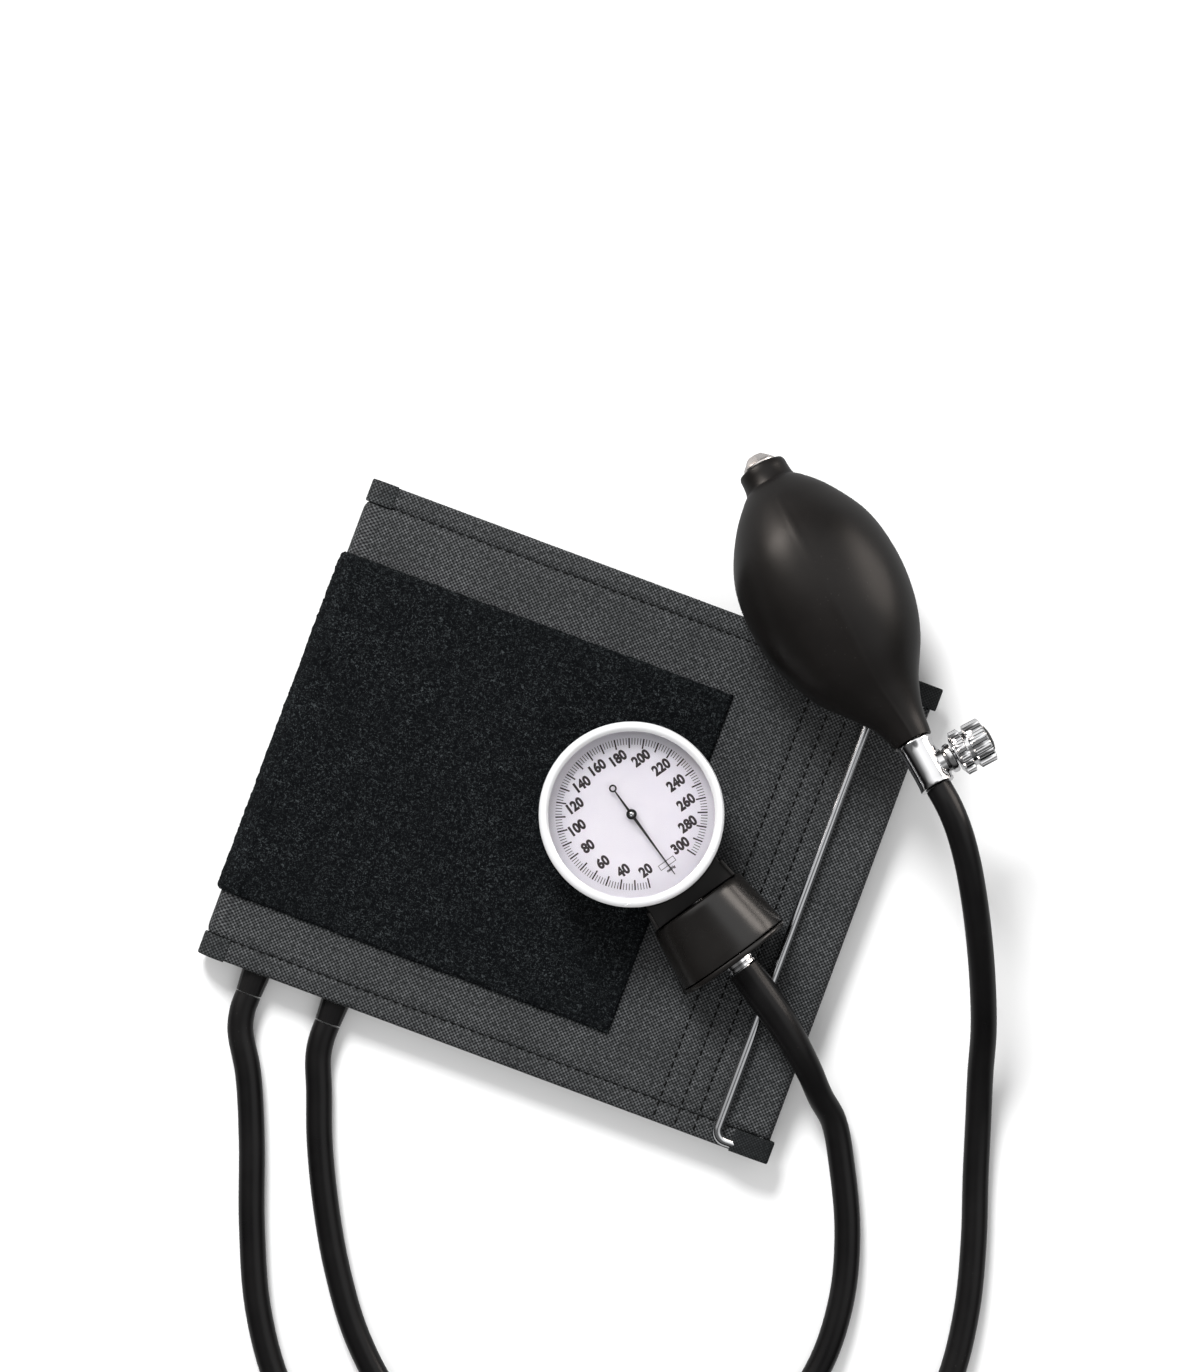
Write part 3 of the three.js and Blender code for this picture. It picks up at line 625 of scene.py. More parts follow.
@dataclass(frozen=True)
class Cloth(Finish):
    """Coated woven nylon."""

    name: str
    deep: Colour
    thread: Colour
    pitch: float
    depth: float = 0.08
    coordinates: str = "UV"

    def dress(self, g: Graph, shader: bpy.types.Node) -> None:
        """A dark colour with a painted glint, in a lighter colour, on the threads that catch the light; a
        soft sheen and a woven surface.

        Args:
            g: The material's graph.
            shader: Its surface shader.
        """
        weave = g.group(effect(Effect.WEAVE), {"Vector": self.where(g, self.coordinates),
                                               "Pitch": self.pitch * MM})
        shade = g.spread(weave.outputs["Shade"], 0.3, 0.7, 0.7, 1.0)
        lit = g.math("MULTIPLY", weave.outputs["Glint"], shade)
        # Painted highlight: the glint mask lifts the threads that catch the light to the lighter colour.
        self.link(g, g.mix(lit, rgba(self.deep), rgba(self.thread)), shader, "Base Color")
        rough = g.spread(weave.outputs["Glint"], 0.0, 1.0, 0.75, 0.5)
        self.link(g, rough, shader, "Roughness")
        shader.inputs["Specular IOR Level"].default_value = 0.12
        self.raise_surface(g, shader, weave.outputs["Height"], self.depth)


@dataclass(frozen=True)
class Pile(Finish):
    """Brushed loop pile."""

    name: str
    deep: Colour
    fibre: Colour
    scale: float = 900.0
    depth: float = 0.5

    def dress(self, g: Graph, shader: bpy.types.Node) -> None:
        """Painted shade in the low gaps between fibres, which are painted lighter where the pile stands high;
        rough all over.

        Args:
            g: The material's graph.
            shader: Its surface shader.
        """
        pile = g.group(effect(Effect.PILE), {"Vector": self.where(g), "Scale": self.scale})
        shade = g.spread(pile.outputs["Shade"], 0.3, 0.7, 0.45, 1.0)
        lit = g.math("MULTIPLY", pile.outputs["Fibre"], shade)
        # Painted shade and sheen: the fibre mask follows the pile's height, darkening its gaps and lightening
        # its raised fibres.
        self.link(g, g.mix(lit, rgba(self.deep), rgba(self.fibre)), shader, "Base Color")
        self.link(g, g.spread(pile.outputs["Fibre"], 0.0, 1.0, 1.0, 0.82), shader, "Roughness")
        shader.inputs["Specular IOR Level"].default_value = 0.05
        self.raise_surface(g, shader, pile.outputs["Height"], self.depth)


@dataclass(frozen=True)
class Skin(Finish):
    """Rubber or moulded plastic."""

    name: str
    colour: Colour
    worn: Colour
    rough: float
    depth: float = 0.02
    coat: float = 0.0
    scale: float = 1800.0
    shine: float = 0.3

    def dress(self, g: Graph, shader: bpy.types.Node) -> None:
        """A fine grain, broad handling marks and a little dust.

        Args:
            g: The material's graph.
            shader: Its surface shader.
        """
        grain = g.group(effect(Effect.GRAIN), {"Vector": self.where(g), "Scale": self.scale})
        patch = g.spread(grain.outputs["Patch"], 0.35, 0.7, 0.0, 1.0)
        base = g.mix(patch, rgba(self.colour), rgba(self.worn))
        dusty = g.mix(g.math("MULTIPLY", grain.outputs["Speck"], 0.25), base, rgba(DUST))
        self.link(g, dusty, shader, "Base Color")
        rough = g.spread(grain.outputs["Patch"], 0.3, 0.7, self.rough * 0.85, self.rough * 1.2)
        self.link(g, rough, shader, "Roughness")
        shader.inputs["Specular IOR Level"].default_value = self.shine
        shader.inputs["Coat Weight"].default_value = self.coat
        shader.inputs["Coat Roughness"].default_value = 0.12
        self.raise_surface(g, shader, grain.outputs["Height"], self.depth)


@dataclass(frozen=True)
class Metal(Finish):
    """Plated, turned or stamped metal."""

    name: str
    colour: Colour
    worn: Colour
    rough: float
    wear: float = 0.4
    depth: float = 0.002
    metallic: float = 1.0
    hollow_shade: float = 0.85

    def dress(self, g: Graph, shader: bpy.types.Node) -> None:
        """Bright metal with faint smears, hair scratches, rubbed edges and painted shade in its hollows.

        Args:
            g: The material's graph.
            shader: Its surface shader.
        """
        wear = g.group(effect(Effect.WEAR), {"Vector": self.where(g), "Amount": self.wear})
        rubbed = g.mix(wear.outputs["Edge"], rgba(self.colour), rgba(self.worn))
        # Painted shade: concave places, found by pointiness, are darkened toward a near-black colour.
        shaded_hollow = g.math("MULTIPLY", wear.outputs["Hollow"], self.hollow_shade)
        self.link(g, g.mix(shaded_hollow, rubbed, rgba(HOLLOW_SHADE)), shader, "Base Color")
        smear = g.spread(wear.outputs["Smear"], 0.35, 0.75, self.rough * 0.7, self.rough * 1.6)
        self.link(g, smear, shader, "Roughness")
        shader.inputs["Metallic"].default_value = self.metallic
        self.raise_surface(g, shader, wear.outputs["Scratch"], self.depth)


@dataclass(frozen=True)
class Print(Finish):
    """Paint or printing ink."""

    name: str
    colour: Colour
    tired: Colour
    rough: float = 0.45
    size: float = 40.0

    def dress(self, g: Graph, shader: bpy.types.Node) -> None:
        """Even paint with a faint mottle.

        Args:
            g: The material's graph.
            shader: Its surface shader.
        """
        grain = g.group(effect(Effect.GRAIN), {"Vector": self.where(g), "Patches": self.size})
        mottle = g.spread(grain.outputs["Patch"], 0.35, 0.7, 0.0, 1.0)
        self.link(g, g.mix(mottle, rgba(self.colour), rgba(self.tired)), shader, "Base Color")
        self.link(g, g.spread(grain.outputs["Patch"], 0.3, 0.7, self.rough * 0.9, self.rough * 1.1),
                  shader, "Roughness")
        self.raise_surface(g, shader, grain.outputs["Height"], 0.003)


@dataclass(frozen=True)
class Lens(Finish):
    """Clear glass or acrylic."""

    name: str
    tint: Colour

    def dress(self, g: Graph, shader: bpy.types.Node) -> None:
        """Plain clear material with a trace of smear in its gloss.

        Args:
            g: The material's graph.
            shader: Its surface shader.
        """
        shader.inputs["Base Color"].default_value = rgba(self.tint)
        shader.inputs["Transmission Weight"].default_value = 1.0
        shader.inputs["IOR"].default_value = 1.2
        wear = g.group(effect(Effect.WEAR), {"Vector": self.where(g), "Amount": 0.0})
        self.link(g, g.spread(wear.outputs["Smear"], 0.4, 0.8, 0.0, 0.03), shader, "Roughness")


NYLON = Cloth("charcoal_nylon", (0.009, 0.01, 0.0105), (0.135, 0.139, 0.144), 0.58)
# Painted shade: the hem strips round the rolled end get a darker thread colour than the cuff.
SHADED_STRIP_NYLON = Cloth("shaded_strip_nylon", (0.008, 0.009, 0.0095), (0.085, 0.09, 0.093), 0.58,
                    coordinates="Object")
HEM_NYLON = Cloth("hem_nylon", (0.008, 0.009, 0.0095), (0.032, 0.035, 0.037), 0.5, 0.05, "Object")
TAPE = Cloth("hook_tape", (0.012, 0.012, 0.013), (0.06, 0.06, 0.062), 0.9, coordinates="Object")
THREAD = Cloth("black_thread", (0.002, 0.002, 0.002), (0.012, 0.012, 0.013), 0.2, 0.03, "Object")
FLEECE = Pile("loop_pile", (0.003, 0.0036, 0.0042), (0.074, 0.084, 0.088), 1300.0)
BULB_RUBBER = Skin("bulb_rubber", (0.006, 0.0053, 0.005), (0.009, 0.0078, 0.0074), 0.37, 0.01,
                   shine=0.2)
HOSE_RUBBER = Skin("hose_rubber", (0.004, 0.0038, 0.004), (0.007, 0.0066, 0.0068), 0.3, 0.008,
                   shine=0.22)
SHEET_RUBBER = Skin("bladder_rubber", (0.025, 0.022, 0.02), (0.04, 0.036, 0.033), 0.6, 0.03)
SEAL_RUBBER = Skin("seal_rubber", (0.01, 0.01, 0.01), (0.02, 0.02, 0.02), 0.55)
GLOSS_BLACK = Skin("gloss_moulding", (0.006, 0.0053, 0.005), (0.01, 0.0088, 0.008), 0.26, 0.005,
                   shine=0.5)
SATIN_BLACK = Skin("satin_moulding", (0.008, 0.0075, 0.0075), (0.014, 0.013, 0.0125), 0.38, 0.01)
CHROME = Metal("bright_chrome", (0.86, 0.86, 0.87), (0.7, 0.7, 0.7), 0.08, depth=0.0004)
# Painted reflection: mostly matt near-white, so the bezel looks like chrome mirroring a white room; only part
# of its shine is true metal.
BEZEL_PAINTED_REFLECTION = Metal("bezel_chrome_painted_white", (0.93, 0.93, 0.94), (0.8, 0.8, 0.8), 0.2, depth=0.0005,
                     metallic=0.35, hollow_shade=0.3)
SATIN_CHROME = Metal("satin_chrome", (0.82, 0.78, 0.76), (0.6, 0.58, 0.56), 0.27, depth=0.001)
DARK_CHROME = Metal("case_chrome", (0.32, 0.32, 0.34), (0.6, 0.6, 0.6), 0.16)
WIRE = Metal("plated_wire", (0.76, 0.77, 0.79), (0.5, 0.5, 0.5), 0.14, depth=0.0006)
STEEL = Metal("ground_steel", (0.55, 0.56, 0.58), (0.4, 0.4, 0.4), 0.25)
BLUED = Metal("blued_spring", (0.1, 0.13, 0.22), (0.3, 0.3, 0.35), 0.25)
BRASS = Metal("stamped_brass", (0.62, 0.42, 0.16), (0.8, 0.62, 0.32), 0.28, depth=0.01)
PLATE_BLACK = Metal("black_spring_plate", (0.03, 0.03, 0.032), (0.3, 0.3, 0.3), 0.3, 0.8)
DIAL_PAINT = Print("dial_paint", (0.80, 0.775, 0.84), (0.84, 0.82, 0.87), 0.5)
INK = Print("dial_ink", (0.02, 0.012, 0.015), (0.03, 0.02, 0.024))
POINTER_PAINT = Print("pointer_paint", (0.008, 0.007, 0.008), (0.02, 0.018, 0.018), 0.35)
CLEAR = Lens("gauge_lens", (0.99, 0.99, 1.0))

NODE_FINISHES: dict[str, Finish] = {
    "bladder": SHEET_RUBBER,
    "hook_patch": TAPE,
    "tube_port_a": HOSE_RUBBER,
    "tube_port_b": HOSE_RUBBER,
    "crystal_gasket": SEAL_RUBBER,
    "inlet_block": BRASS,
    "diaphragm_capsule": BRASS,
    "movement_plate": BRASS,
    "movement_bridge": BRASS,
    "sector_gear": BRASS,
    "push_pin": STEEL,
    "rocker_shaft": STEEL,
    "pinion_arbor": STEEL,
    "hairspring": BLUED,
    "gauge_stem": CHROME,
    "inlet_valve_ball": STEEL,
    "outlet_valve_ball": STEEL,
    "valve_needle": STEEL,
}


def dress_packed_nodes() -> None:
    """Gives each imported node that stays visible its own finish."""
    for node, finish in NODE_FINISHES.items():
        for place in frame["nodes"][node].material_slots:
            place.link = "OBJECT"
            place.material = finish.material()


# ---- studio and camera ---------------------------------------------------------------------------


@dataclass(frozen=True)
class Lamp:
    """One round soft lamp, aimed at the middle of the object. Metres and watts.

    A softbox is only mirrored in glossy pieces. The other lamps only light matt ones.
    """

    where: tuple[float, float, float]
    size: float
    power: float
    softbox: bool = False

    def hang(self, name: str, centre: Vector, colour: Colour) -> None:
        """Adds the lamp to the scene.

        Args:
            name: The lamp's name.
            centre: What it is aimed at, in metres.
            colour: The colour of its light.
        """
        data = bpy.data.lights.new(name, "AREA")
        data.shape = "DISK"
        data.size = self.size
        data.energy = self.power
        data.color = colour
        made = bpy.data.objects.new(name, data)
        made.visible_diffuse = not self.softbox
        made.visible_glossy = self.softbox
        made.location = centre + Vector(self.where)
        made.rotation_euler = Vector(self.where).to_track_quat("Z", "Y").to_euler()
        bpy.context.scene.collection.objects.link(made)


@dataclass
class Studio:
    """A pale floor, soft lamps and the camera overhead. Lengths in millimetres.

    What shiny pieces mirror is a room of its own: mirrored gives its brightness by how far up a
    direction points, and the side toward -Y is shaded.
    """

    aim: tuple[float, float] = (-4.7, 38.9)
    roll: float = 20.4
    frame_height: float = 392.0
    distance: float = 1500.0
    sensor: float = 36.0
    far_clip: float = 50000.0
    floor_half: float = 4000.0
    floor_drop: float = 0.02
    mirrored: tuple[tuple[float, float], ...] = (
        (-1.0, 0.5), (-0.2, 0.55), (-0.06, 0.04), (0.24, 0.05), (0.44, 0.45), (0.6, 1.0), (0.93, 1.2),
        (0.98, 0.3),
    )
    shaded_side: tuple[float, float] = (-0.3, 0.25)
    shaded: float = 0.12
    ambient: float = 0.62
    backdrop: float = 0.9
    lamps: dict[str, Lamp] = field(default_factory=lambda: {
        "key_lamp": Lamp((-0.62, 0.8, 1.0), 0.5, 25.0),
        "front_lamp": Lamp((0.15, -0.95, 0.9), 0.9, 4.0),
        "left_softbox": Lamp((-1.15, 0.5, 0.5), 0.7, 16.0, softbox=True),
        "right_softbox": Lamp((0.72, 1.02, 0.36), 0.9, 12.0, softbox=True),
    })
    white: Colour = (1.0, 1.0, 1.0)
    warm: Colour = (1.0, 0.91, 0.84)

    def camera(self) -> None:
        """Hangs the camera straight over the object."""
        data = bpy.data.cameras.new("overhead")
        data.sensor_fit = "VERTICAL"
        data.sensor_height = self.sensor
        data.lens = self.sensor * self.distance / self.frame_height
        data.clip_end = self.far_clip * MM
        made = bpy.data.objects.new("overhead", data)
        made.location = (self.aim[0] * MM, self.aim[1] * MM, self.distance * MM)
        made.rotation_euler = (0, 0, math.radians(self.roll))
        bpy.context.scene.collection.objects.link(made)
        bpy.context.scene.camera = made

    def floor(self) -> None:
        """Lays the pale floor."""
        half = self.floor_half
        corners = np.array([(-half, -half, 0), (half, -half, 0), (half, half, 0), (-half, half, 0)])
        paper = Print("paper_floor", (0.9, 0.9, 0.9), (0.92, 0.92, 0.92), 0.8, 0.8)
        floor = make_object("floor", Shape(corners, [(0, 1, 2, 3)]), paper.material())
        floor.location.z = -self.floor_drop * MM
        floor.visible_glossy = False

    def light(self) -> None:
        """Hangs the lamps."""
        centre = Vector((self.aim[0] * MM, self.aim[1] * MM, 0))
        for name, lamp in self.lamps.items():
            lamp.hang(name, centre, self.warm if lamp.softbox else self.white)

    def room(self) -> None:
        """Sets the even glow that falls on matt pieces and the room that shiny ones mirror."""
        world = bpy.data.worlds.new("room")
        bpy.context.scene.world = world
        world.use_nodes = True
        g = Graph(world.node_tree)
        toward = g.add("SeparateXYZ", {0: g.add("TexCoord").outputs["Generated"]}).outputs
        ramp = g.add("ValToRGB", {0: g.spread(toward[2], -1.0, 1.0, 0.0, 1.0)})
        stops = ramp.color_ramp.elements
        while len(stops) < len(self.mirrored):
            stops.new(1.0)
        for stop, (height, level) in zip(stops, self.mirrored):
            stop.position = (height + 1) / 2
            stop.color = (level, level, level, 1.0)
        side = g.spread(toward[1], self.shaded_side[0], self.shaded_side[1], self.shaded, 1.0)
        above = g.math("GREATER_THAN", toward[2], 0.0)
        facing = g.math("MAXIMUM", side, g.math("SUBTRACT", 1.0, above))
        glow = g.math("MULTIPLY", ramp.outputs[0], facing)
        path = g.add("LightPath")
        soft = g.math("MULTIPLY", path.outputs["Is Diffuse Ray"], self.ambient)
        seen = g.math("MULTIPLY", path.outputs["Is Camera Ray"], self.backdrop)
        mirrored = g.math("MULTIPLY", glow, path.outputs["Is Glossy Ray"])
        total = g.math("ADD", g.math("ADD", soft, seen), mirrored)
        background = world.node_tree.nodes["Background"]
        g.tree.links.new(total, background.inputs["Strength"])
        background.inputs["Color"].default_value = rgba(self.white)
        bpy.context.scene.view_settings.view_transform = "Standard"

    def build(self) -> None:
        """Makes the camera, the floor, the lamps and the room."""
        self.camera()
        self.floor()
        self.light()
        self.room()


# ---- hoses ---------------------------------------------------------------------------------------


def flowing(points: Sequence[Sequence[float]], per_span: int = 6) -> np.ndarray:
    """A smooth centripetal curve through given points.

    Args:
        points: The points, in millimetres.
        per_span: Steps between one point and the next.

    Returns:
        The curve's points, in millimetres.
    """
    known = np.array(points, float)
    ends = (2 * known[0] - known[1], 2 * known[-1] - known[-2])
    p = np.vstack([ends[0], known, ends[1]])
    out = []
    for i in range(1, len(p) - 2):
        gaps = [max(np.linalg.norm(p[k + 1] - p[k]) ** 0.5, 1e-4) for k in (i - 1, i, i + 1)]
        t1 = (p[i] - p[i - 1]) / gaps[0] - (p[i + 1] - p[i - 1]) / (gaps[0] + gaps[1])
        t1 = (t1 + (p[i + 1] - p[i]) / gaps[1]) * gaps[1]
        t2 = (p[i + 1] - p[i]) / gaps[1] - (p[i + 2] - p[i]) / (gaps[1] + gaps[2])
        t2 = (t2 + (p[i + 2] - p[i + 1]) / gaps[2]) * gaps[1]
        for step in range(per_span):
            t = step / per_span
            out.append((2 * t**3 - 3 * t**2 + 1) * p[i] + (t**3 - 2 * t**2 + t) * t1
                       + (3 * t**2 - 2 * t**3) * p[i + 1] + (t**3 - t**2) * t2)
    out.append(known[-1])
    return np.array(out)


@dataclass
class Hose:
    """One rubber hose from an instrument to the bladder's port. Lengths in millimetres."""

    name: str
    route: list[tuple[float, float, float]]
    flare: float = 1.0
    flare_start: float = 4.0
    flare_end: float = 42.0
    diameter: float = 7.5

    def build(self) -> None:
        line = flowing(self.route)
        data = bpy.data.curves.new(self.name, "CURVE")
        data.dimensions = "3D"
        data.bevel_depth = self.diameter / 2 * MM
        data.bevel_resolution = 8
        data.use_fill_caps = True
        spline = data.splines.new("POLY")
        spline.points.add(len(line) - 1)
        spline.points.foreach_set("co", np.c_[line * MM, np.ones(len(line))].ravel())
        run = np.r_[0, np.cumsum(np.linalg.norm(np.diff(line, axis=0), axis=1))]
        swell = 1 + (self.flare - 1) * (1 - smooth_step(run, self.flare_start, self.flare_end))
        spline.points.foreach_set("radius", swell)
        spline.use_smooth = True
        data.materials.append(HOSE_RUBBER.material())
        made = bpy.data.objects.new(self.name + "_tube", data)
        bpy.context.scene.collection.objects.link(made)
        stand_for(made, self.name)


GAUGE_HOSE = Hose("gauge_hose", [
    (61.3, -21.8, 17.9), (65, -24.3, 18.1), (70.5, -28, 18.5), (76.5, -32.2, 18.3), (83, -37.4, 16.8),
    (89, -42.8, 13.6), (94.6, -48.6, 9.6), (100.9, -54.1, 5.8), (107.7, -65.5, 4.1), (115.4, -81.8, 3.9),
    (120.6, -100.1, 3.9), (121.6, -120, 3.9), (116.9, -138.9, 3.9), (105.9, -155.2, 3.9),
    (90.4, -167.9, 3.9), (71.4, -177.1, 3.9), (50.8, -182.1, 3.9), (30.1, -180.8, 3.9),
    (11.1, -172.9, 3.9), (-4.5, -159.5, 3.9), (-17.1, -142.8, 3.9), (-27.1, -125.6, 3.9),
    (-34.6, -110, 3.9), (-39.6, -97, 3.9), (-43.1, -88.2, 4.2), (-44, -82.8, 4.5), (-44, -78.3, 4.5),
], flare=1.28)
BULB_HOSE = Hose("bulb_hose", [
    (93.24, 45.34, 42.37), (97.4, 41.7, 43.6), (102, 36.8, 43.8), (107.4, 29.6, 42.2),
    (113.2, 20.4, 38.4), (119.4, 9.4, 32.4), (125.4, -2.4, 24.8), (130.8, -14.6, 17),
    (134.8, -26.6, 10.4), (139.4, -39.8, 5.9), (144.4, -55, 4.1), (150.2, -72.1, 3.9),
    (155.3, -91.5, 3.9), (157.6, -112, 3.9), (155.3, -133.1, 3.9), (147, -153.8, 3.9),
    (132.3, -171.6, 3.9), (112.2, -186.5, 3.9), (88.7, -197.9, 3.9), (63.6, -205.1, 3.9),
    (38.9, -207.4, 3.9), (15.2, -203.9, 3.9), (-5.6, -194, 3.9), (-21.7, -179.2, 3.9),
    (-34.4, -161, 3.9), (-44.2, -139.5, 3.9), (-52.6, -117, 3.9), (-60.2, -99.5, 3.9),
    (-66.6, -88.6, 4.2), (-68, -82.8, 4.5), (-68, -78.3, 4.5),
])


# ---- bulb and release valve ----------------------------------------------------------------------


@dataclass
class Bulb:
    """The squeeze bulb with its inlet valve. Sizes in millimetres, heights from the inlet end."""

    outline: tuple[tuple[float, float], ...] = (
        (7.6, 6), (9.6, 7.8), (14.9, 14), (21.3, 26), (23.4, 39), (22.3, 52), (17.8, 65), (10.8, 76),
        (7.1, 83.5), (5.6, 90),
    )
    sag: tuple[tuple[float, float], ...] = (
        (-5, 0), (6, 0), (20, -0.9), (40, -1.5), (60, -1.8), (71, -2.1), (80, -0.8), (86, 0), (91, 0),
    )
    length: float = 90.0
    wall: float = 2.4
    bore: float = 3.75
    seam_height: float = 0.14
    seam_width: float = 0.55
    swell: float = 0.16
    inlet_facets: int = 8

    def profile(self) -> list[tuple[float, float]]:
        """The closed outline of the hollow wall, with its rolled inlet lip.

        Returns:
            (radius, height) points that end where they start.
        """
        skin = flowing([(r, 0, z) for r, z in self.outline], 8)[:, [0, 2]]
        outer = [(6.1, 0), (6.7, 0.25), (7.0, 0.9), (7.05, 2.5), (7.2, 4.4), (7.45, 5.4)]
        outer += [(float(r), float(z)) for r, z in skin]
        outer += [(5.3, self.length), (4.6, self.length + 0.15)]
        inner = [(r - self.wall, z) for r, z in reversed(outer) if z > 7 and r - self.wall > self.bore]
        return [(self.bore, 0), *outer, (self.bore, self.length), *inner, (self.bore, 7.5), (self.bore, 0)]

    def lean(self, height: np.ndarray) -> np.ndarray:
        """How far the soft bulb's middle line lies aside at each height.

        Args:
            height: Heights from the inlet end.

        Returns:
            The offset at each height.
        """
        places, offsets = zip(*self.sag)
        rounded = [np.interp(height + shift, places, offsets) for shift in (-4, -2, 0, 2, 4)]
        return np.mean(rounded, axis=0)

    def lying(self, shape: Shape) -> Shape:
        """The turned bulb with its middle line bent as it lies."""
        shape.verts[:, 0] += self.lean(shape.verts[:, 2])
        return shape

    def uneven(self, shape: Shape) -> Shape:
        """Raises the mould seam and faint swellings on the turned bulb.

        Args:
            shape: The bulb about local Z, changed in place.

        Returns:
            The same shape.
        """
        verts = shape.verts
        radius = np.hypot(verts[:, 0], verts[:, 1])
        angle = np.arctan2(verts[:, 1], verts[:, 0])
        off_seam = np.abs(np.abs(angle) - math.pi / 2) * radius
        seam = self.seam_height * np.exp(-((off_seam / self.seam_width) ** 2))
        seam *= smooth_step(verts[:, 2], 8, 14)
        swell = self.swell * hills(verts, 26, 3.1, 2) * smooth_step(verts[:, 2], 4, 16)
        swell *= 1 - smooth_step(verts[:, 2], 76, 88)
        outside = radius > self.bore + 0.2
        verts[:, :2] *= (1 + np.where(outside, (seam + swell) / np.maximum(radius, 1), 0))[:, None]
        return shape

    def build(self) -> None:
        """Makes the bulb and its inlet valve."""
        place = Place.bulb()
        shape = self.lying(self.uneven(lathe(self.profile(), 128)))
        made = make_object("bulb_shell", shape.placed(place), BULB_RUBBER.material(), sharp=50)
        stand_for(made, "bulb")
        self.inlet(place)

    def inlet(self, place: Place) -> None:
        """Makes the plated inlet valve with its low facetted cone and air hole.

        Args:
            place: The bulb's place.
        """
        stem = [(1.2, -3.6), (1.5, -3.75), (2.5, -3.7), (4.6, -1.6), (4.9, -1.0), (5.0, -0.75),
                (5.0, -0.4), (3.4, -0.3), (3.4, 8), (1.2, 8), (1.2, 6.5), (2.2, 5.95), (2.2, 0.75),
                (1.2, 0.15), (1.2, -3.7)]
        shape = lathe(stem, 72)
        verts = shape.verts
        half_facet = math.pi / self.inlet_facets
        angle = np.arctan2(verts[:, 1], verts[:, 0])
        flat = np.cos(half_facet) / np.cos((angle % (2 * half_facet)) - half_facet)
        cone = (verts[:, 2] < -0.8) & (np.hypot(verts[:, 0], verts[:, 1]) > 1.8)
        verts[:, :2] *= np.where(cone, flat, 1)[:, None]
        made = make_object("inlet_valve_turned", shape.placed(place), SATIN_CHROME.material(), sharp=18)
        stand_for(made, "inlet_valve_body")


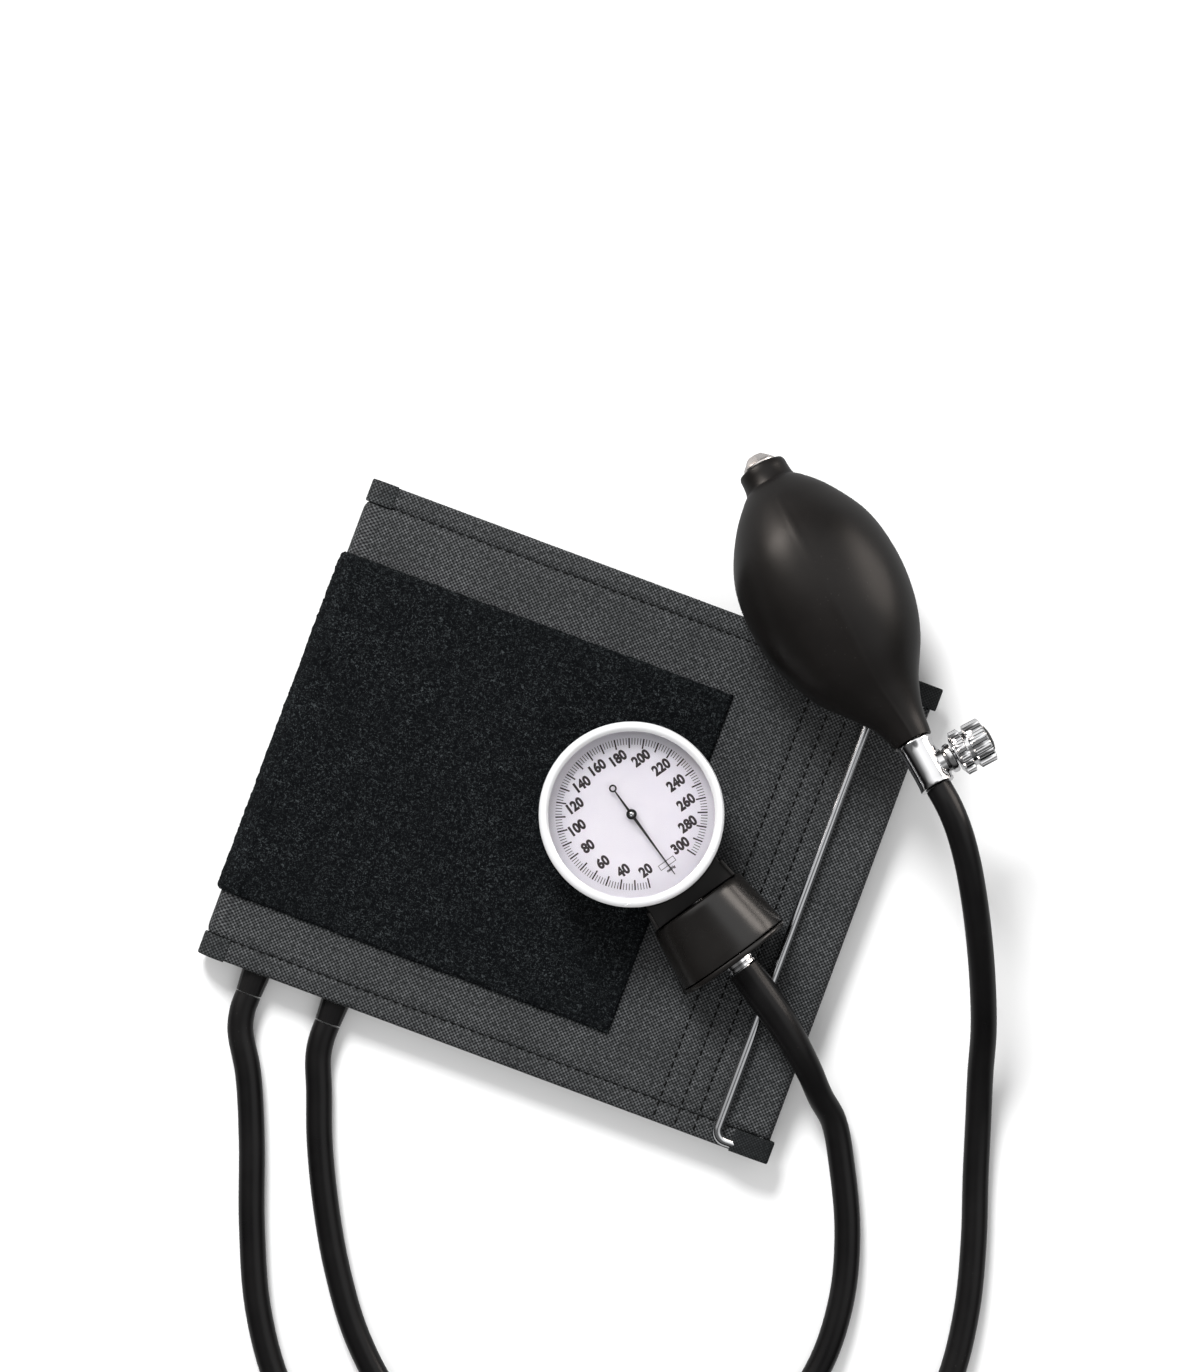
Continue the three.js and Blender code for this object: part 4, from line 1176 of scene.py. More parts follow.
@dataclass
class ReleaseValve:
    """The barrel on the bulb's neck, with the knob on its spindle.

    Millimetres along the bulb from its inlet end, or along the spindle from the bulb's axis.
    """

    spindle_at: float = 99.2
    knob_pivot: float = 12.0
    start: float = 90.3
    end: float = 104.5
    radius: float = 4.8
    boss_end: float = 8.0
    knob_start: float = 8.4
    knob_end: float = 18.6
    knob_radius: float = 6.5
    knurls: int = 16
    tooth: float = 1.1
    spigot_start: float = 81.0

    def barrel(self) -> Shape:
        """The turned barrel with its rims, bored through.

        Returns:
            The barrel about local Z.
        """
        s, e, r = self.start, self.end, self.radius
        return lathe([(1.2, s), (4.4, s), (r + 0.1, s + 0.1), (r + 0.3, s + 0.35), (r + 0.3, s + 0.8),
                      (r + 0.12, s + 1.1), (r + 0.08, s + 3), (r + 0.05, e - 4), (r + 0.12, e - 1.6),
                      (r + 0.3, e - 0.6), (r + 0.2, e - 0.15), (r - 0.4, e), (1.2, e), (1.2, s)], 96)

    def boss(self) -> Shape:
        """The side boss that guides the spindle, with its rounded nut.

        Returns:
            The boss along local X.
        """
        b = self.boss_end
        turned = lathe([(2.3, 3.4), (4.0, 3.4), (3.9, 5.0), (3.2, 5.4), (3.3, 5.8), (4.0, 6.0), (4.25, 6.5),
                        (4.25, b - 0.5), (3.9, b - 0.1), (2.3, b), (2.3, 3.4)], 72)
        return turned.turned(TO_X, (0, 0, self.spindle_at))

    def knob(self) -> Shape:
        """The knob's core and its two knurled bands.

        Returns:
            The knob along local X.
        """
        s, e, r = self.knob_start, self.knob_end, self.knob_radius
        core = lathe([(1.9, s), (4.6, s), (5.2, s + 0.3), (5.2, e - 0.6), (5.0, e - 0.3), (4.6, e - 0.4),
                      (4.6, e - 2), (1.9, e - 2), (1.9, s)], 96)
        bands = [self.band(s + 0.5, s + 3.7, r), self.band(s + 4.7, e - 0.1, r)]
        return Shape.joined([core, *bands]).turned(TO_X, (0, 0, self.spindle_at))

    def band(self, start: float, end: float, radius: float) -> Shape:
        """One knurled band: square teeth round a ring, with eased ends.

        Args:
            start: Where it starts along the spindle.
            end: Where it ends.
            radius: Radius over its teeth.

        Returns:
            The band about local Z.
        """
        per_tooth = 12
        count = self.knurls * per_tooth
        step = np.arange(count) % per_tooth
        tooth = smooth_step(step, 0.5, 2.5) * (1 - smooth_step(step, 6.5, 8.5))
        angles = 2 * math.pi * np.arange(count) / count
        deep = self.tooth
        levels = [(start, 4.7, 0.0), (start, radius - deep - 0.2, 0.4), (start + 0.4, radius - deep, 1.0),
                  (end - 0.4, radius - deep, 1.0), (end, radius - deep - 0.2, 0.4), (end, 4.7, 0.0)]
        verts = []
        for height, base, share in levels:
            r = base + deep * share * tooth
            verts.append(np.c_[r * np.cos(angles), r * np.sin(angles), np.full(count, height)])
        faces = []
        for i in range(len(levels)):
            a, b = i * count, ((i + 1) % len(levels)) * count
            faces += [(a + k, a + (k + 1) % count, b + (k + 1) % count, b + k) for k in range(count)]
        return Shape(np.concatenate(verts), faces)

    def cap(self) -> Shape:
        """The dark domed cap in the knob's end.

        Returns:
            The cap along local X.
        """
        e = self.knob_end
        turned = lathe([(0, e - 1.7), (4.3, e - 1.7), (4.35, e - 0.4), (4.1, e - 0.05), (3.4, e + 0.5),
                        (1.8, e + 0.9), (0, e + 1)], 72)
        return turned.turned(TO_X, (0, 0, self.spindle_at))

    def build(self) -> None:
        """Makes the barrel, the knob and its cap on their bodies."""
        place = Place.bulb()
        low, high = self.spigot_start, self.start + 0.2
        spigot = lathe([(1.2, low), (3.4, low), (3.4, high), (1.2, high), (1.2, low)], 48)
        barrel = Shape.joined([self.barrel(), self.boss(), spigot])
        made = make_object("release_valve_barrel", barrel.placed(place), CHROME.material(), sharp=40)
        stand_for(made, "valve_body")
        for name, shape, finish, node in (
            ("knurled_knob", self.knob(), CHROME, "valve_knob"),
            ("knob_end_cap", self.cap(), GLOSS_BLACK, "knob_cap"),
        ):
            piece = make_object(name, shape.placed(place), finish.material(), sharp=30)
            stand_for(piece, node, body="knob")


# ---- gauge ---------------------------------------------------------------------------------------


@dataclass
class Gauge:
    """The dial gauge. Local millimetres: Z up from the case's floor, X along the stem."""

    case_radius: float = 25.0
    bezel_radius: float = 26.0
    opening: float = 23.3
    wall: float = 1.0
    dial_bottom: float = 14.0
    dial_top: float = 14.5
    dial_radius: float = 23.7
    print_height: float = 0.04
    pointer_height: float = 15.6
    crystal_bottom: float = 18.4
    crystal_radius: float = 24.2
    crystal_dome: float = 0.75
    first_value: int = 20
    last_value: int = 300
    first_angle: float = 21.8
    last_angle: float = 338.5
    tick_step: int = 2
    major_step: int = 10
    tick_outer: float = 21.4
    major_tick: tuple[float, float] = (2.9, 0.42)
    minor_tick: tuple[float, float] = (1.9, 0.2)
    label_step: int = 20
    label_radius: float = 15.6
    label_height: float = 2.75
    label_weight: float = 0.052
    label_narrowing: float = 0.86
    unit_radius: float = 19.0
    unit_height: float = 0.8

    def bezel(self) -> Shape:
        """The polished ring that holds the crystal.

        Returns:
            The ring.
        """
        r, o = self.bezel_radius, self.opening
        lip = arc(r - 1.35, 19.25, 1.35, 0, 112, 14)
        return lathe([(25.3, 14.2), (r - 0.35, 14.2), (r - 0.1, 14.45), (r, 15.0), (r - 0.1, 16.6), (r, 18.6),
                      *lip, (o + 0.5, 20.2), (o + 0.15, 20.0), (o, 19.75), (o, 19.6), (24.5, 19.6),
                      (24.5, 18.1), (25.3, 18.1), (25.3, 14.2)], 160)

    def case(self) -> Shape:
        """The drawn metal case, with a rounded foot and a rolled bead.

        Returns:
            The case, open at its top.
        """
        r = self.case_radius
        inner = r - self.wall
        foot = arc(r - 2.4, 2.4, 2.4, -90, 0, 8)
        return lathe([(0, 0.05), (8, 0.05), (8.4, 0.35), (19.5, 0.35), (20, 0), *foot, (r, 7.2),
                      (r + 0.25, 7.5), (r + 0.25, 8.1), (r, 8.4), (r, 17.2), (inner, 17.2), (inner, 1.2),
                      (0, 1.2)], 144)

    def crystal(self) -> Shape:
        """A shallow domed lens.

        Returns:
            The lens.
        """
        b, r, o = self.crystal_bottom, self.crystal_radius, self.opening
        rim = b + 0.9
        top = [(r * t, rim + self.crystal_dome * (1 - t * t)) for t in np.linspace(1, 0, 12)]
        top = [(x, z) for x, z in top if x < o - 0.1]
        under = [(x, z - 0.75) for x, z in reversed(top)]
        return lathe([*under, (o, b), (r, b), (r, rim), (o, rim + 0.05), *top], 96)

    def dial(self) -> Shape:
        """The dial plate, with a hole for the pointer's shaft.

        Returns:
            The plate.
        """
        low, high, r = self.dial_bottom, self.dial_top, self.dial_radius
        return lathe([(0.95, low), (r, low), (r, high - 0.06), (r - 0.06, high), (0.95, high),
                      (0.95, low)], 128)

    def angle(self, value: float) -> float:
        """Where a pressure stands on the dial, in radians about local Z from the stem."""
        share = (value - self.first_value) / (self.last_value - self.first_value)
        return -math.radians(self.first_angle + share * (self.last_angle - self.first_angle))

    def ticks(self) -> Shape:
        """All marks of the scale, one each 2 mmHg and longer ones each 10.

        Returns:
            The marks and the zero box, as thin plates on the dial.
        """
        marks = []
        for value in range(self.first_value, self.last_value + 1, self.tick_step):
            length, width = self.minor_tick if value % self.major_step else self.major_tick
            bar = self.bar(self.tick_outer - length, -width / 2, self.tick_outer, width / 2)
            a = self.angle(value)
            turn = np.array([[math.cos(a), math.sin(a), 0], [-math.sin(a), math.cos(a), 0], [0, 0, 1]])
            marks.append(bar.turned(turn))
        marks += self.zero_box()
        return Shape.joined(marks)

    def zero_box(self) -> list[Shape]:
        """The empty window printed at zero.

        Returns:
            Its four sides.
        """
        low, high, half, line = 16.2, 17.8, 2.6, 0.16
        return [self.bar(low, -half, low + line, half), self.bar(high - line, -half, high, half),
                self.bar(low, -half, high, -half + line), self.bar(low, half - line, high, half)]

    def bar(self, x0: float, y0: float, x1: float, y1: float) -> Shape:
        """One printed bar on the dial, from corner to corner."""
        outline = [(x0, y0), (x1, y0), (x1, y1), (x0, y1)]
        return prism(outline, self.dial_top, self.dial_top + self.print_height)

    def label(self, text: str, height: float, x: float, y: float) -> Shape:
        """One upright number on the dial.

        Args:
            text: What it says.
            height: The height of its figures.
            x: Its middle along the stem.
            y: Its middle across the stem.

        Returns:
            The thin raised print.
        """
        data = bpy.data.curves.new("figure", "FONT")
        data.body = text
        data.align_x = "CENTER"
        data.align_y = "CENTER"
        data.size = 1.0
        data.extrude = 0.01
        data.offset = self.label_weight
        data.resolution_u = 4
        data.space_character = 1.03
        holder = bpy.data.objects.new("figure", data)
        bpy.context.scene.collection.objects.link(holder)
        mesh = holder.evaluated_get(bpy.context.evaluated_depsgraph_get()).to_mesh()
        verts = np.array([v.co[:] for v in mesh.vertices])
        faces = [tuple(p.vertices) for p in mesh.polygons]
        bpy.data.objects.remove(holder)
        figure_share = 0.7
        scale = height / figure_share
        verts[:, :2] -= (verts[:, :2].max(0) + verts[:, :2].min(0)) / 2
        half = self.print_height / 2
        flat = np.c_[x - verts[:, 1] * scale, y + verts[:, 0] * scale * self.label_narrowing,
                     self.dial_top + half + np.sign(verts[:, 2]) * half]
        return Shape(flat, faces)

    def figures(self) -> Shape:
        """Every number from 20 to 300, and the unit under zero.

        Returns:
            The numbers and the unit, as thin plates on the dial.
        """
        made = []
        for value in range(self.first_value, self.last_value + 1, self.label_step):
            a = self.angle(value)
            reach = self.label_radius + 1.1 * abs(math.cos(a)) - 0.4
            middle = reach * math.cos(a), reach * math.sin(a)
            made.append(self.label(str(value), self.label_height, *middle))
        made.append(self.label("mmHg", self.unit_height, self.unit_radius, 0.0))
        return Shape.joined(made)

    def pointer(self) -> list[tuple[str, Shape]]:
        """The needle with its tail ring, and the domed hub.

        Returns:
            The pieces' names and shapes.
        """
        z = self.pointer_height
        blade = prism([(-8.1, -0.2), (-2, -0.32), (0, -0.45), (6, -0.34), (20.8, -0.13), (20.8, 0.13),
                       (6, 0.34), (0, 0.45), (-2, 0.32), (-8.1, 0.2)], z, z + 0.3)
        ring = lathe([(0.62, z), (1.1, z), (1.1, z + 0.3), (0.62, z + 0.3), (0.62, z)], 40).moved(-8.9)
        hub = lathe([(0, z - 0.1), (1.45, z - 0.1), (1.5, z + 0.5), (1.35, z + 0.72), (0.95, z + 0.75),
                     (0.85, z + 0.5), (0.7, z + 0.5), (0, z + 0.5)], 48)
        tip = lathe([(0, z + 0.45), (0.66, z + 0.45), (0.66, z + 0.8), (0.5, z + 0.95), (0, z + 1.0)], 32)
        return [("needle", Shape.joined([blade, ring])), ("hub", hub), ("shaft_tip", tip)]

    def build(self) -> None:
        """Makes the case, the dial and the pointer."""
        place = Place.gauge()
        for name, shape, finish, node, sharp in (
            ("gauge_case", self.case(), DARK_CHROME, "gauge_housing", 40),
            ("bezel_ring", self.bezel(), BEZEL_PAINTED_REFLECTION, "gauge_bezel", 32),
            ("domed_crystal", self.crystal(), CLEAR, "gauge_crystal", 40),
        ):
            made = make_object(name, shape.placed(place), finish.material(), sharp)
            stand_for(made, node)
        dial = make_object("dial_face", self.dial().placed(place), DIAL_PAINT.material(), 30)
        stand_for(dial, "gauge_dial")
        for name, shape in (("dial_marks", self.ticks()), ("dial_figures", self.figures())):
            made = make_object(name, shape.placed(place), INK.material(), 30)
            stand_for(made, "gauge_dial", replaces=False)
        for name, shape in self.pointer():
            finish = STEEL if name == "shaft_tip" else POINTER_PAINT
            made = make_object("pointer_" + name, shape.placed(place), finish.material(), 40)
            stand_for(made, "gauge_pointer", body="pointer")


@dataclass
class Holder:
    """The black moulding beside the gauge that carries the stem and the hose.

    Lengths in the gauge's frame: X along the stem from the dial's axis, Z up from the case's floor.
    """

    start: float = 31.0
    end: float = 49.0
    cap_start: float = 49.3
    cap_end: float = 50.9
    half_width: float = 14.75
    base: float = 1.8
    shoulder: float = 5.0
    top: float = 18.5
    flare: float = 1.16
    neck_radius: float = 26.4
    neck_half: float = 12.0
    neck_low: float = 2.2
    neck_high: float = 11.8
    fin_high: float = 13.0
    stem_height: float = 5.0

    def section(self, flare: float, shrink: float = 0) -> np.ndarray:
        """The D outline across the stem, as (y, z) points.

        Args:
            flare: Share of the body's half width.
            shrink: How far the outline is drawn in.

        Returns:
            The outline, in order.
        """
        half = self.half_width * flare - shrink
        base, top = self.base + shrink, self.top - shrink
        arch = [(half * math.cos(a), self.shoulder + (top - self.shoulder) * math.sin(a))
                for a in np.linspace(0, math.pi, 49)]
        return np.array([(-half + 0.5, base), (0, base), (half - 0.5, base), (half, base + 0.5), *arch,
                         (-half, base + 0.5)])

    def body(self, rings: Sequence[tuple[float, float, float]]) -> Shape:
        """A D-sectioned body through rings of (place along the stem, flare, shrink).

        Args:
            rings: Each ring: its place along the stem, its flare and its shrink.

        Returns:
            The closed body.
        """
        sections = []
        for x, flare, shrink in rings:
            outline = self.section(flare, shrink)
            sections.append(np.c_[np.full(len(outline), x), outline])
        count = len(sections[0])
        faces: list[tuple[int, ...]] = []
        for i in range(len(sections) - 1):
            a, b = i * count, (i + 1) * count
            faces += [(a + k, a + (k + 1) % count, b + (k + 1) % count, b + k) for k in range(count)]
        last = (len(sections) - 1) * count
        faces += [tuple(range(count)), tuple(reversed(range(last, last + count)))]
        return Shape(np.concatenate(sections), faces)

    def neck(self) -> Shape:
        """The plate that hugs the case, with a raised fin on each side.

        Returns:
            The plate and its fins.
        """
        end, half, low = self.start - 0.3, self.neck_half, self.neck_low
        spread = math.degrees(math.asin(half / self.neck_radius))
        outline = [*arc(0, 0, self.neck_radius, -spread, spread, 20), (end, half + 1), (end, -half - 1)]
        plate = prism(outline, low, self.neck_high)
        fins = []
        for side in (1, -1):
            corners = [(25.3, half + 0.1), (end, half + 0.7), (end, half + 1.6), (25.1, half + 1.0)]
            fins.append(prism([(x, side * y) for x, y in corners], low, self.fin_high))
        return Shape.joined([plate, *fins])

    def clip(self) -> Shape:
        """The flat spring plate behind the holder."""
        corners = [(27, -13), (50.6, -18), (50.6, 12), (27, 12)]
        return prism(corners, 0.2, 1.5)

    def moulding(self) -> Shape:
        """The flaring body with eased ends.

        Returns:
            The body.
        """
        start, end = self.start, self.end
        slope = (self.flare - 1) / (end - start)
        eased = [(start, 1.0, 0.9), (start + 0.25, 1.0, 0.3), (start + 0.9, 1.0, 0)]
        flaring = [(x, 1 + slope * (x - start), 0) for x in np.linspace(start + 2, end - 0.5, 8)]
        return self.body([*eased, *flaring, (end - 0.12, self.flare, 0.12), (end, self.flare, 0.45)])

    def cap(self) -> Shape:
        """The end cap behind a thin parting gap.

        Returns:
            The cap.
        """
        s, e, f = self.cap_start, self.cap_end, self.flare
        return self.body([(s, f, 0.7), (s + 0.1, f, 0.15), (s + 0.4, f, 0), (e - 0.7, f, 0),
                          (e - 0.2, f, 0.3), (e, f, 0.9)])

    def collar(self) -> Shape:
        """The grooved metal collar round the stem, where the hose is pushed on.

        Returns:
            The collar.
        """
        turned = lathe([(2.7, 51.2), (4.4, 51.2), (4.6, 51.4), (4.6, 52.2), (4.3, 52.45), (4.3, 52.7),
                        (4.6, 52.9), (4.6, 53.5), (4.4, 53.7), (2.7, 53.7), (2.7, 51.2)], 72)
        return turned.turned(TO_X, (0, 0, self.stem_height))

    def build(self) -> None:
        """Makes the body, the end cap, the neck, the clip and the collar."""
        place = Place.gauge()
        for name, shape, finish, node, bevel in (
            ("holder_body", self.moulding(), GLOSS_BLACK, "gauge_holder", 0),
            ("holder_cap", self.cap(), GLOSS_BLACK, "holder_end_cap", 0),
            ("holder_neck_plate", self.neck(), SATIN_BLACK, "holder_neck", 0.3),
            ("back_clip", self.clip(), PLATE_BLACK, "holder_clip", 0.35),
            ("hose_collar", self.collar(), CHROME, "stem_collar", 0),
        ):
            made = make_object(name, shape.placed(place), finish.material(), 32, bevel)
            stand_for(made, node)


# ---- cuff ----------------------------------------------------------------------------------------


@dataclass
class CuffRoll:
    """The nylon cuff rolled in three layers, with its patch, stitching and ring.

    Millimetres in the object's frame: X from the rolled end to the ring, Y across the cuff.
    """

    fold_x: float = -80.05
    fold_z: float = 5.45
    tail_fold_x: float = 82.6
    tail_end_x: float = -74.0
    top_z: float = 9.1
    tail_z: float = 4.85
    full: float = 1.8
    thin: float = 0.95
    step: float = 1.5
    nose_rows: int = 9
    seam_rows: tuple[float, ...] = (52.0, 58.5, 64.0)
    channel_width: float = 0.7
    channel_depth: float = 0.34
    hem_seam: float = 65.5
    hem_edge: float = 64.7
    hem_lift: float = 0.4
    tab_thick: float = 0.6
    stitch_length: float = 1.7
    stitch_pitch: float = 2.9
    stitch_radius: float = 0.3
    ring_x: float = 83.05
    bar_x: float = 70.2
    wire: float = 1.35
    ring_half: float = 69.8
    ring_corner: float = 3.2
    patch_end: float = 31.8
    patch_low: float = -52.8
    patch_high: float = 50.0
    patch_thick: float = 1.35
    patch_step: float = 0.62
    press_gap: float = 0.35
    press_reach: float = 2.5

    def __post_init__(self) -> None:
        """Takes the cuff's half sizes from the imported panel."""
        low, high = box_mm("cuff_outer_panel")
        self.half_width = high[1]
        self.left = low[0]
        self.right = box_mm("ring_sleeve")[1][0]

    def line(self) -> np.ndarray:
        """The layers' middle line from the ring end to the tail.

        Returns:
            Rows of x, z, half thickness, and whether the row is on the top layer.
        """
        rows: list[tuple[float, float, float, float]] = []
        bulge = self.right - self.ring_x
        for x in self.ring_x + bulge * np.sin(np.linspace(math.pi / 2, 0, self.nose_rows)):
            rows.append((x, self.top_z, math.sqrt(max(bulge**2 - (x - self.ring_x) ** 2, 0.02)), 1))
        for x in np.arange(self.ring_x - self.step / 2, self.fold_x, -self.step / 1.5):
            ramp = float(smooth_step(x, self.ring_x - 8, self.ring_x))
            rows.append((x, self.top_z, self.full + ramp * (bulge - self.full), 1))
        radius = self.top_z - self.fold_z
        for x, z in arc(self.fold_x, self.fold_z, radius, 90, 270, 18):
            rows.append((x, z, self.full, float(z > self.fold_z)))
        for x in np.arange(self.fold_x + self.step, self.tail_fold_x, self.step):
            half = self.full + (self.thin - self.full) * float(smooth_step(x, 12, 34))
            rows.append((x, half, half, 0))
        middle = (self.tail_z + self.thin) / 2
        for x, z in arc(self.tail_fold_x, middle, self.tail_z - middle, -90, 90, 12):
            rows.append((x, z, self.thin, 0))
        for x in np.arange(self.tail_fold_x - self.step, self.tail_end_x, -self.step):
            rows.append((x, self.tail_z, self.thin, 0))
        for share in (0.8, 0.5, 0.1):
            rows.append((self.tail_end_x - 0.8 * (1 - share), self.tail_z, self.thin * share, 0))
        return np.array(rows)

    def across(self) -> np.ndarray:
        """Places across the cuff, closer together at the hems.

        Returns:
            The places, from -Y to +Y.
        """
        from_edge = [0, 0.12, 0.4, 0.9, 1.8, 3.0, 4.2, 5.0, 5.6, 6.1, 6.5, 6.8, 7.0, 7.3, 8.2, 9.6]
        edge = self.half_width - np.array(from_edge)
        middle = np.arange(0, edge[-1] - 0.5, self.step)
        positive = np.concatenate([middle[1:], edge[::-1]])
        return np.concatenate([-positive[::-1], [0.0], positive])

    def thickness(self, v: np.ndarray) -> np.ndarray:
        """The share of the full thickness at each place across.

        Args:
            v: Places across the cuff.

        Returns:
            The share at each place, 1 where the cloth is full.
        """
        inside = self.half_width - np.abs(v)
        round_edge = np.sqrt(np.clip(1 - (1 - np.clip(inside / 1.0, 0, 1)) ** 2, 0.03, 1))
        seam = 1 - 0.55 * np.exp(-(((np.abs(v) - self.hem_seam) / 0.65) ** 2))
        hem = 1 - 0.22 * smooth_step(np.abs(v), self.hem_seam - 2.5, self.hem_seam)
        return round_edge * seam * hem

    def pressed(self, verts: np.ndarray) -> np.ndarray:
        """Squeezes the layers where the bulb presses on them.

        Args:
            verts: Points of the cuff, in millimetres.

        Returns:
            The points, lowered under the bulb.
        """
        bulb = Bulb()
        shape = bulb.lying(lathe(bulb.profile(), 64)).placed(Place.bulb())
        tree = BVHTree.FromPolygons([Vector(v) for v in shape.verts], shape.faces)
        low, high = shape.verts.min(0) - 3, shape.verts.max(0) + 3
        out = verts.copy()
        near = np.all((verts[:, :2] > low[:2]) & (verts[:, :2] < high[:2]), axis=1)
        top = self.top_z + self.full + 0.4
        for i in np.flatnonzero(near):
            below = Vector((verts[i, 0], verts[i, 1], -5))
            hit = tree.ray_cast(below, Vector((0, 0, 1)))[0]
            room = hit.z - self.press_gap if hit else math.inf
            close = tree.find_nearest(Vector((verts[i, 0], verts[i, 1], top)))[3]
            if room < top:
                out[i, 2] *= room / top
            elif close < self.press_reach:
                out[i, 2] *= 1 - 0.05 * (1 - close / self.press_reach) ** 2
        return out

    def skin(self, line: np.ndarray, v: np.ndarray, side: int) -> np.ndarray:
        """One face of the cloth.

        Args:
            line: The layers' middle line.
            v: Places across the cuff.
            side: 1 for the outer face, -1 for the inner one.

        Returns:
            Its grid of points, a row for each point of the line.
        """
        tangent = np.gradient(line[:, :2], axis=0)
        tangent /= np.linalg.norm(tangent, axis=1)[:, None]
        normal = np.c_[tangent[:, 1], -tangent[:, 0]]
        normal[: self.nose_rows] = (0.0, 1.0)
        share = self.thickness(v)
        half = line[:, 2][:, None] * share[None, :]
        if side > 0:
            channels = np.zeros(len(line))
            for seam in self.seam_rows:
                channels += np.exp(-(((line[:, 0] - seam) / self.channel_width) ** 2)) * line[:, 3]
            half = half * (1 - self.channel_depth * channels[:, None])
            strip = smooth_step(np.abs(v), self.hem_edge - 0.15, self.hem_edge + 0.25)
            half = half + self.hem_lift * (strip * share)[None, :] * line[:, 3][:, None]
        x = line[:, 0][:, None] + side * half * normal[:, 0][:, None]
        z = line[:, 1][:, None] + side * half * normal[:, 1][:, None]
        return np.stack([x, np.broadcast_to(v, x.shape), z], axis=2)

    def cloth(self) -> Shape:
        """The rolled cuff as one closed skin.

        Returns:
            The shape, with the places of its threads.
        """
        line = self.line()
        v = self.across()
        outer, inner = (self.skin(line, v, side) for side in (1, -1))
        self.undulate(outer, line, v)
        verts = self.pressed(np.concatenate([outer.reshape(-1, 3), inner.reshape(-1, 3)]))
        lengths = np.r_[0, np.cumsum(np.linalg.norm(np.diff(line[:, :2], axis=0), axis=1))]
        flat = np.stack(np.meshgrid(lengths, v, indexing="ij"), axis=2).reshape(-1, 2)
        shifted = flat + 0.37
        return Shape(verts, self.skin_faces(len(line), len(v)), np.concatenate([flat, shifted]))

    def undulate(self, grid: np.ndarray, line: np.ndarray, v: np.ndarray) -> None:
        """Adds the cloth's soft hills, its creases and the puckers along its seams to the top layer.

        Args:
            grid: The outer face's points, changed in place.
            line: The layers' middle line.
            v: Places across the cuff.
        """
        rows = np.flatnonzero((line[:, 3] > 0) & (line[:, 0] < self.ring_x))
        along = line[rows, 0]
        flat = grid[rows].reshape(-1, 3)

        def relief(stretch: float, size: float, seed: float) -> np.ndarray:
            """Hills of that size, stretched across the cuff."""
            return hills(flat / (1, stretch, 1), size, seed, 2).reshape(len(rows), len(v))

        inside = 1 - smooth_step(np.abs(v), self.hem_seam - 9, self.hem_seam - 1)
        near_seam = np.exp(-(((np.abs(v) - self.hem_seam + 3.5) / 4.0) ** 2))
        calm = smooth_step(self.ring_x - 3 - along, 0, 10) * smooth_step(along, self.left, self.left + 9)
        right_part = smooth_step(along, 34, 50)
        broad = (0.5 * relief(1, 34, 1.7) - 0.12) * inside
        creases = 0.36 * relief(6.25, 8.5, 5.9) * inside * right_part[:, None]
        puckers = 0.34 * relief(4, 5.5, 8.3) * near_seam
        grid[rows, :, 2] += (broad + creases + puckers) * calm[:, None]

    @staticmethod
    def skin_faces(count: int, wide: int) -> list[tuple[int, ...]]:
        """Faces of two grids of points, one over the other, closed at their edges.

        Args:
            count: Rows in each grid.
            wide: Points in each row.

        Returns:
            The faces.
        """
        faces: list[tuple[int, ...]] = []
        under = count * wide
        for i in range(count - 1):
            for k in range(wide - 1):
                a = i * wide + k
                faces.append((a, a + 1, a + wide + 1, a + wide))
                faces.append((under + a, under + a + wide, under + a + wide + 1, under + a + 1))
        for i in range(count - 1):
            for k in (0, wide - 1):
                a = i * wide + k
                faces.append((a, a + wide, under + a + wide, under + a))
        for k in range(wide - 1):
            for a in (k, (count - 1) * wide + k):
                faces.append((a, a + 1, under + a + 1, under + a))
        return faces

    def patch(self, top: Callable[[float, float], float]) -> Shape:
        """The loop pile patch over the top layer and round the rolled end.

        Args:
            top: Gives the cloth's height at a place on the top layer.

        Returns:
            The patch as one closed shape.
        """
        step, thick = self.patch_step, self.patch_thick
        radius = self.top_z + self.full + 0.25 - self.fold_z
        places = [(x, None) for x in np.arange(self.patch_end, self.fold_x, -step)]
        places += [(None, a) for a in np.arange(90, 206, math.degrees(step / radius))]
        v = np.arange(self.patch_low, self.patch_high + 0.01, step)
        count, wide = len(places), len(v)
        outer, inner = np.zeros((count, wide, 3)), np.zeros((count, wide, 3))
        for i, (x, a) in enumerate(places):
            for k, y in enumerate(v):
                if a is None:
                    base = max(top(x, y) + 0.12, 0)
                    inner[i, k] = (x, y, base)
                    outer[i, k] = (x, y, base + thick)
                else:
                    out = np.array([math.cos(math.radians(a)), 0, math.sin(math.radians(a))])
                    centre = np.array([self.fold_x, y, self.fold_z])
                    inner[i, k] = centre + out * radius
                    outer[i, k] = centre + out * (radius + thick)
        along = np.minimum(np.arange(count), np.arange(count)[::-1]) * step
        aside = np.minimum(np.arange(wide), np.arange(wide)[::-1]) * step
        edge = np.minimum(along[:, None], aside[None, :])
        plump = np.sqrt(np.clip(1 - (1 - np.clip(edge / 1.6, 0, 1)) ** 2, 0.1, 1))
        flat = outer.reshape(-1, 3)
        tufts = hills(flat, 1.5, 4.2, 3) * 0.28 + hills(flat, 9, 6.1, 2) * 0.12
        ragged = hills(flat, 2.2, 9.4, 2).reshape(count, wide) * 0.35
        outer = inner + (outer - inner) * (plump * (1 + tufts.reshape(count, wide) / thick))[:, :, None]
        outer[:, :, 1] += np.where(edge < 0.1, ragged, 0)
        verts = np.concatenate([outer.reshape(-1, 3), inner.reshape(-1, 3)])
        return Shape(verts, self.skin_faces(count, wide))

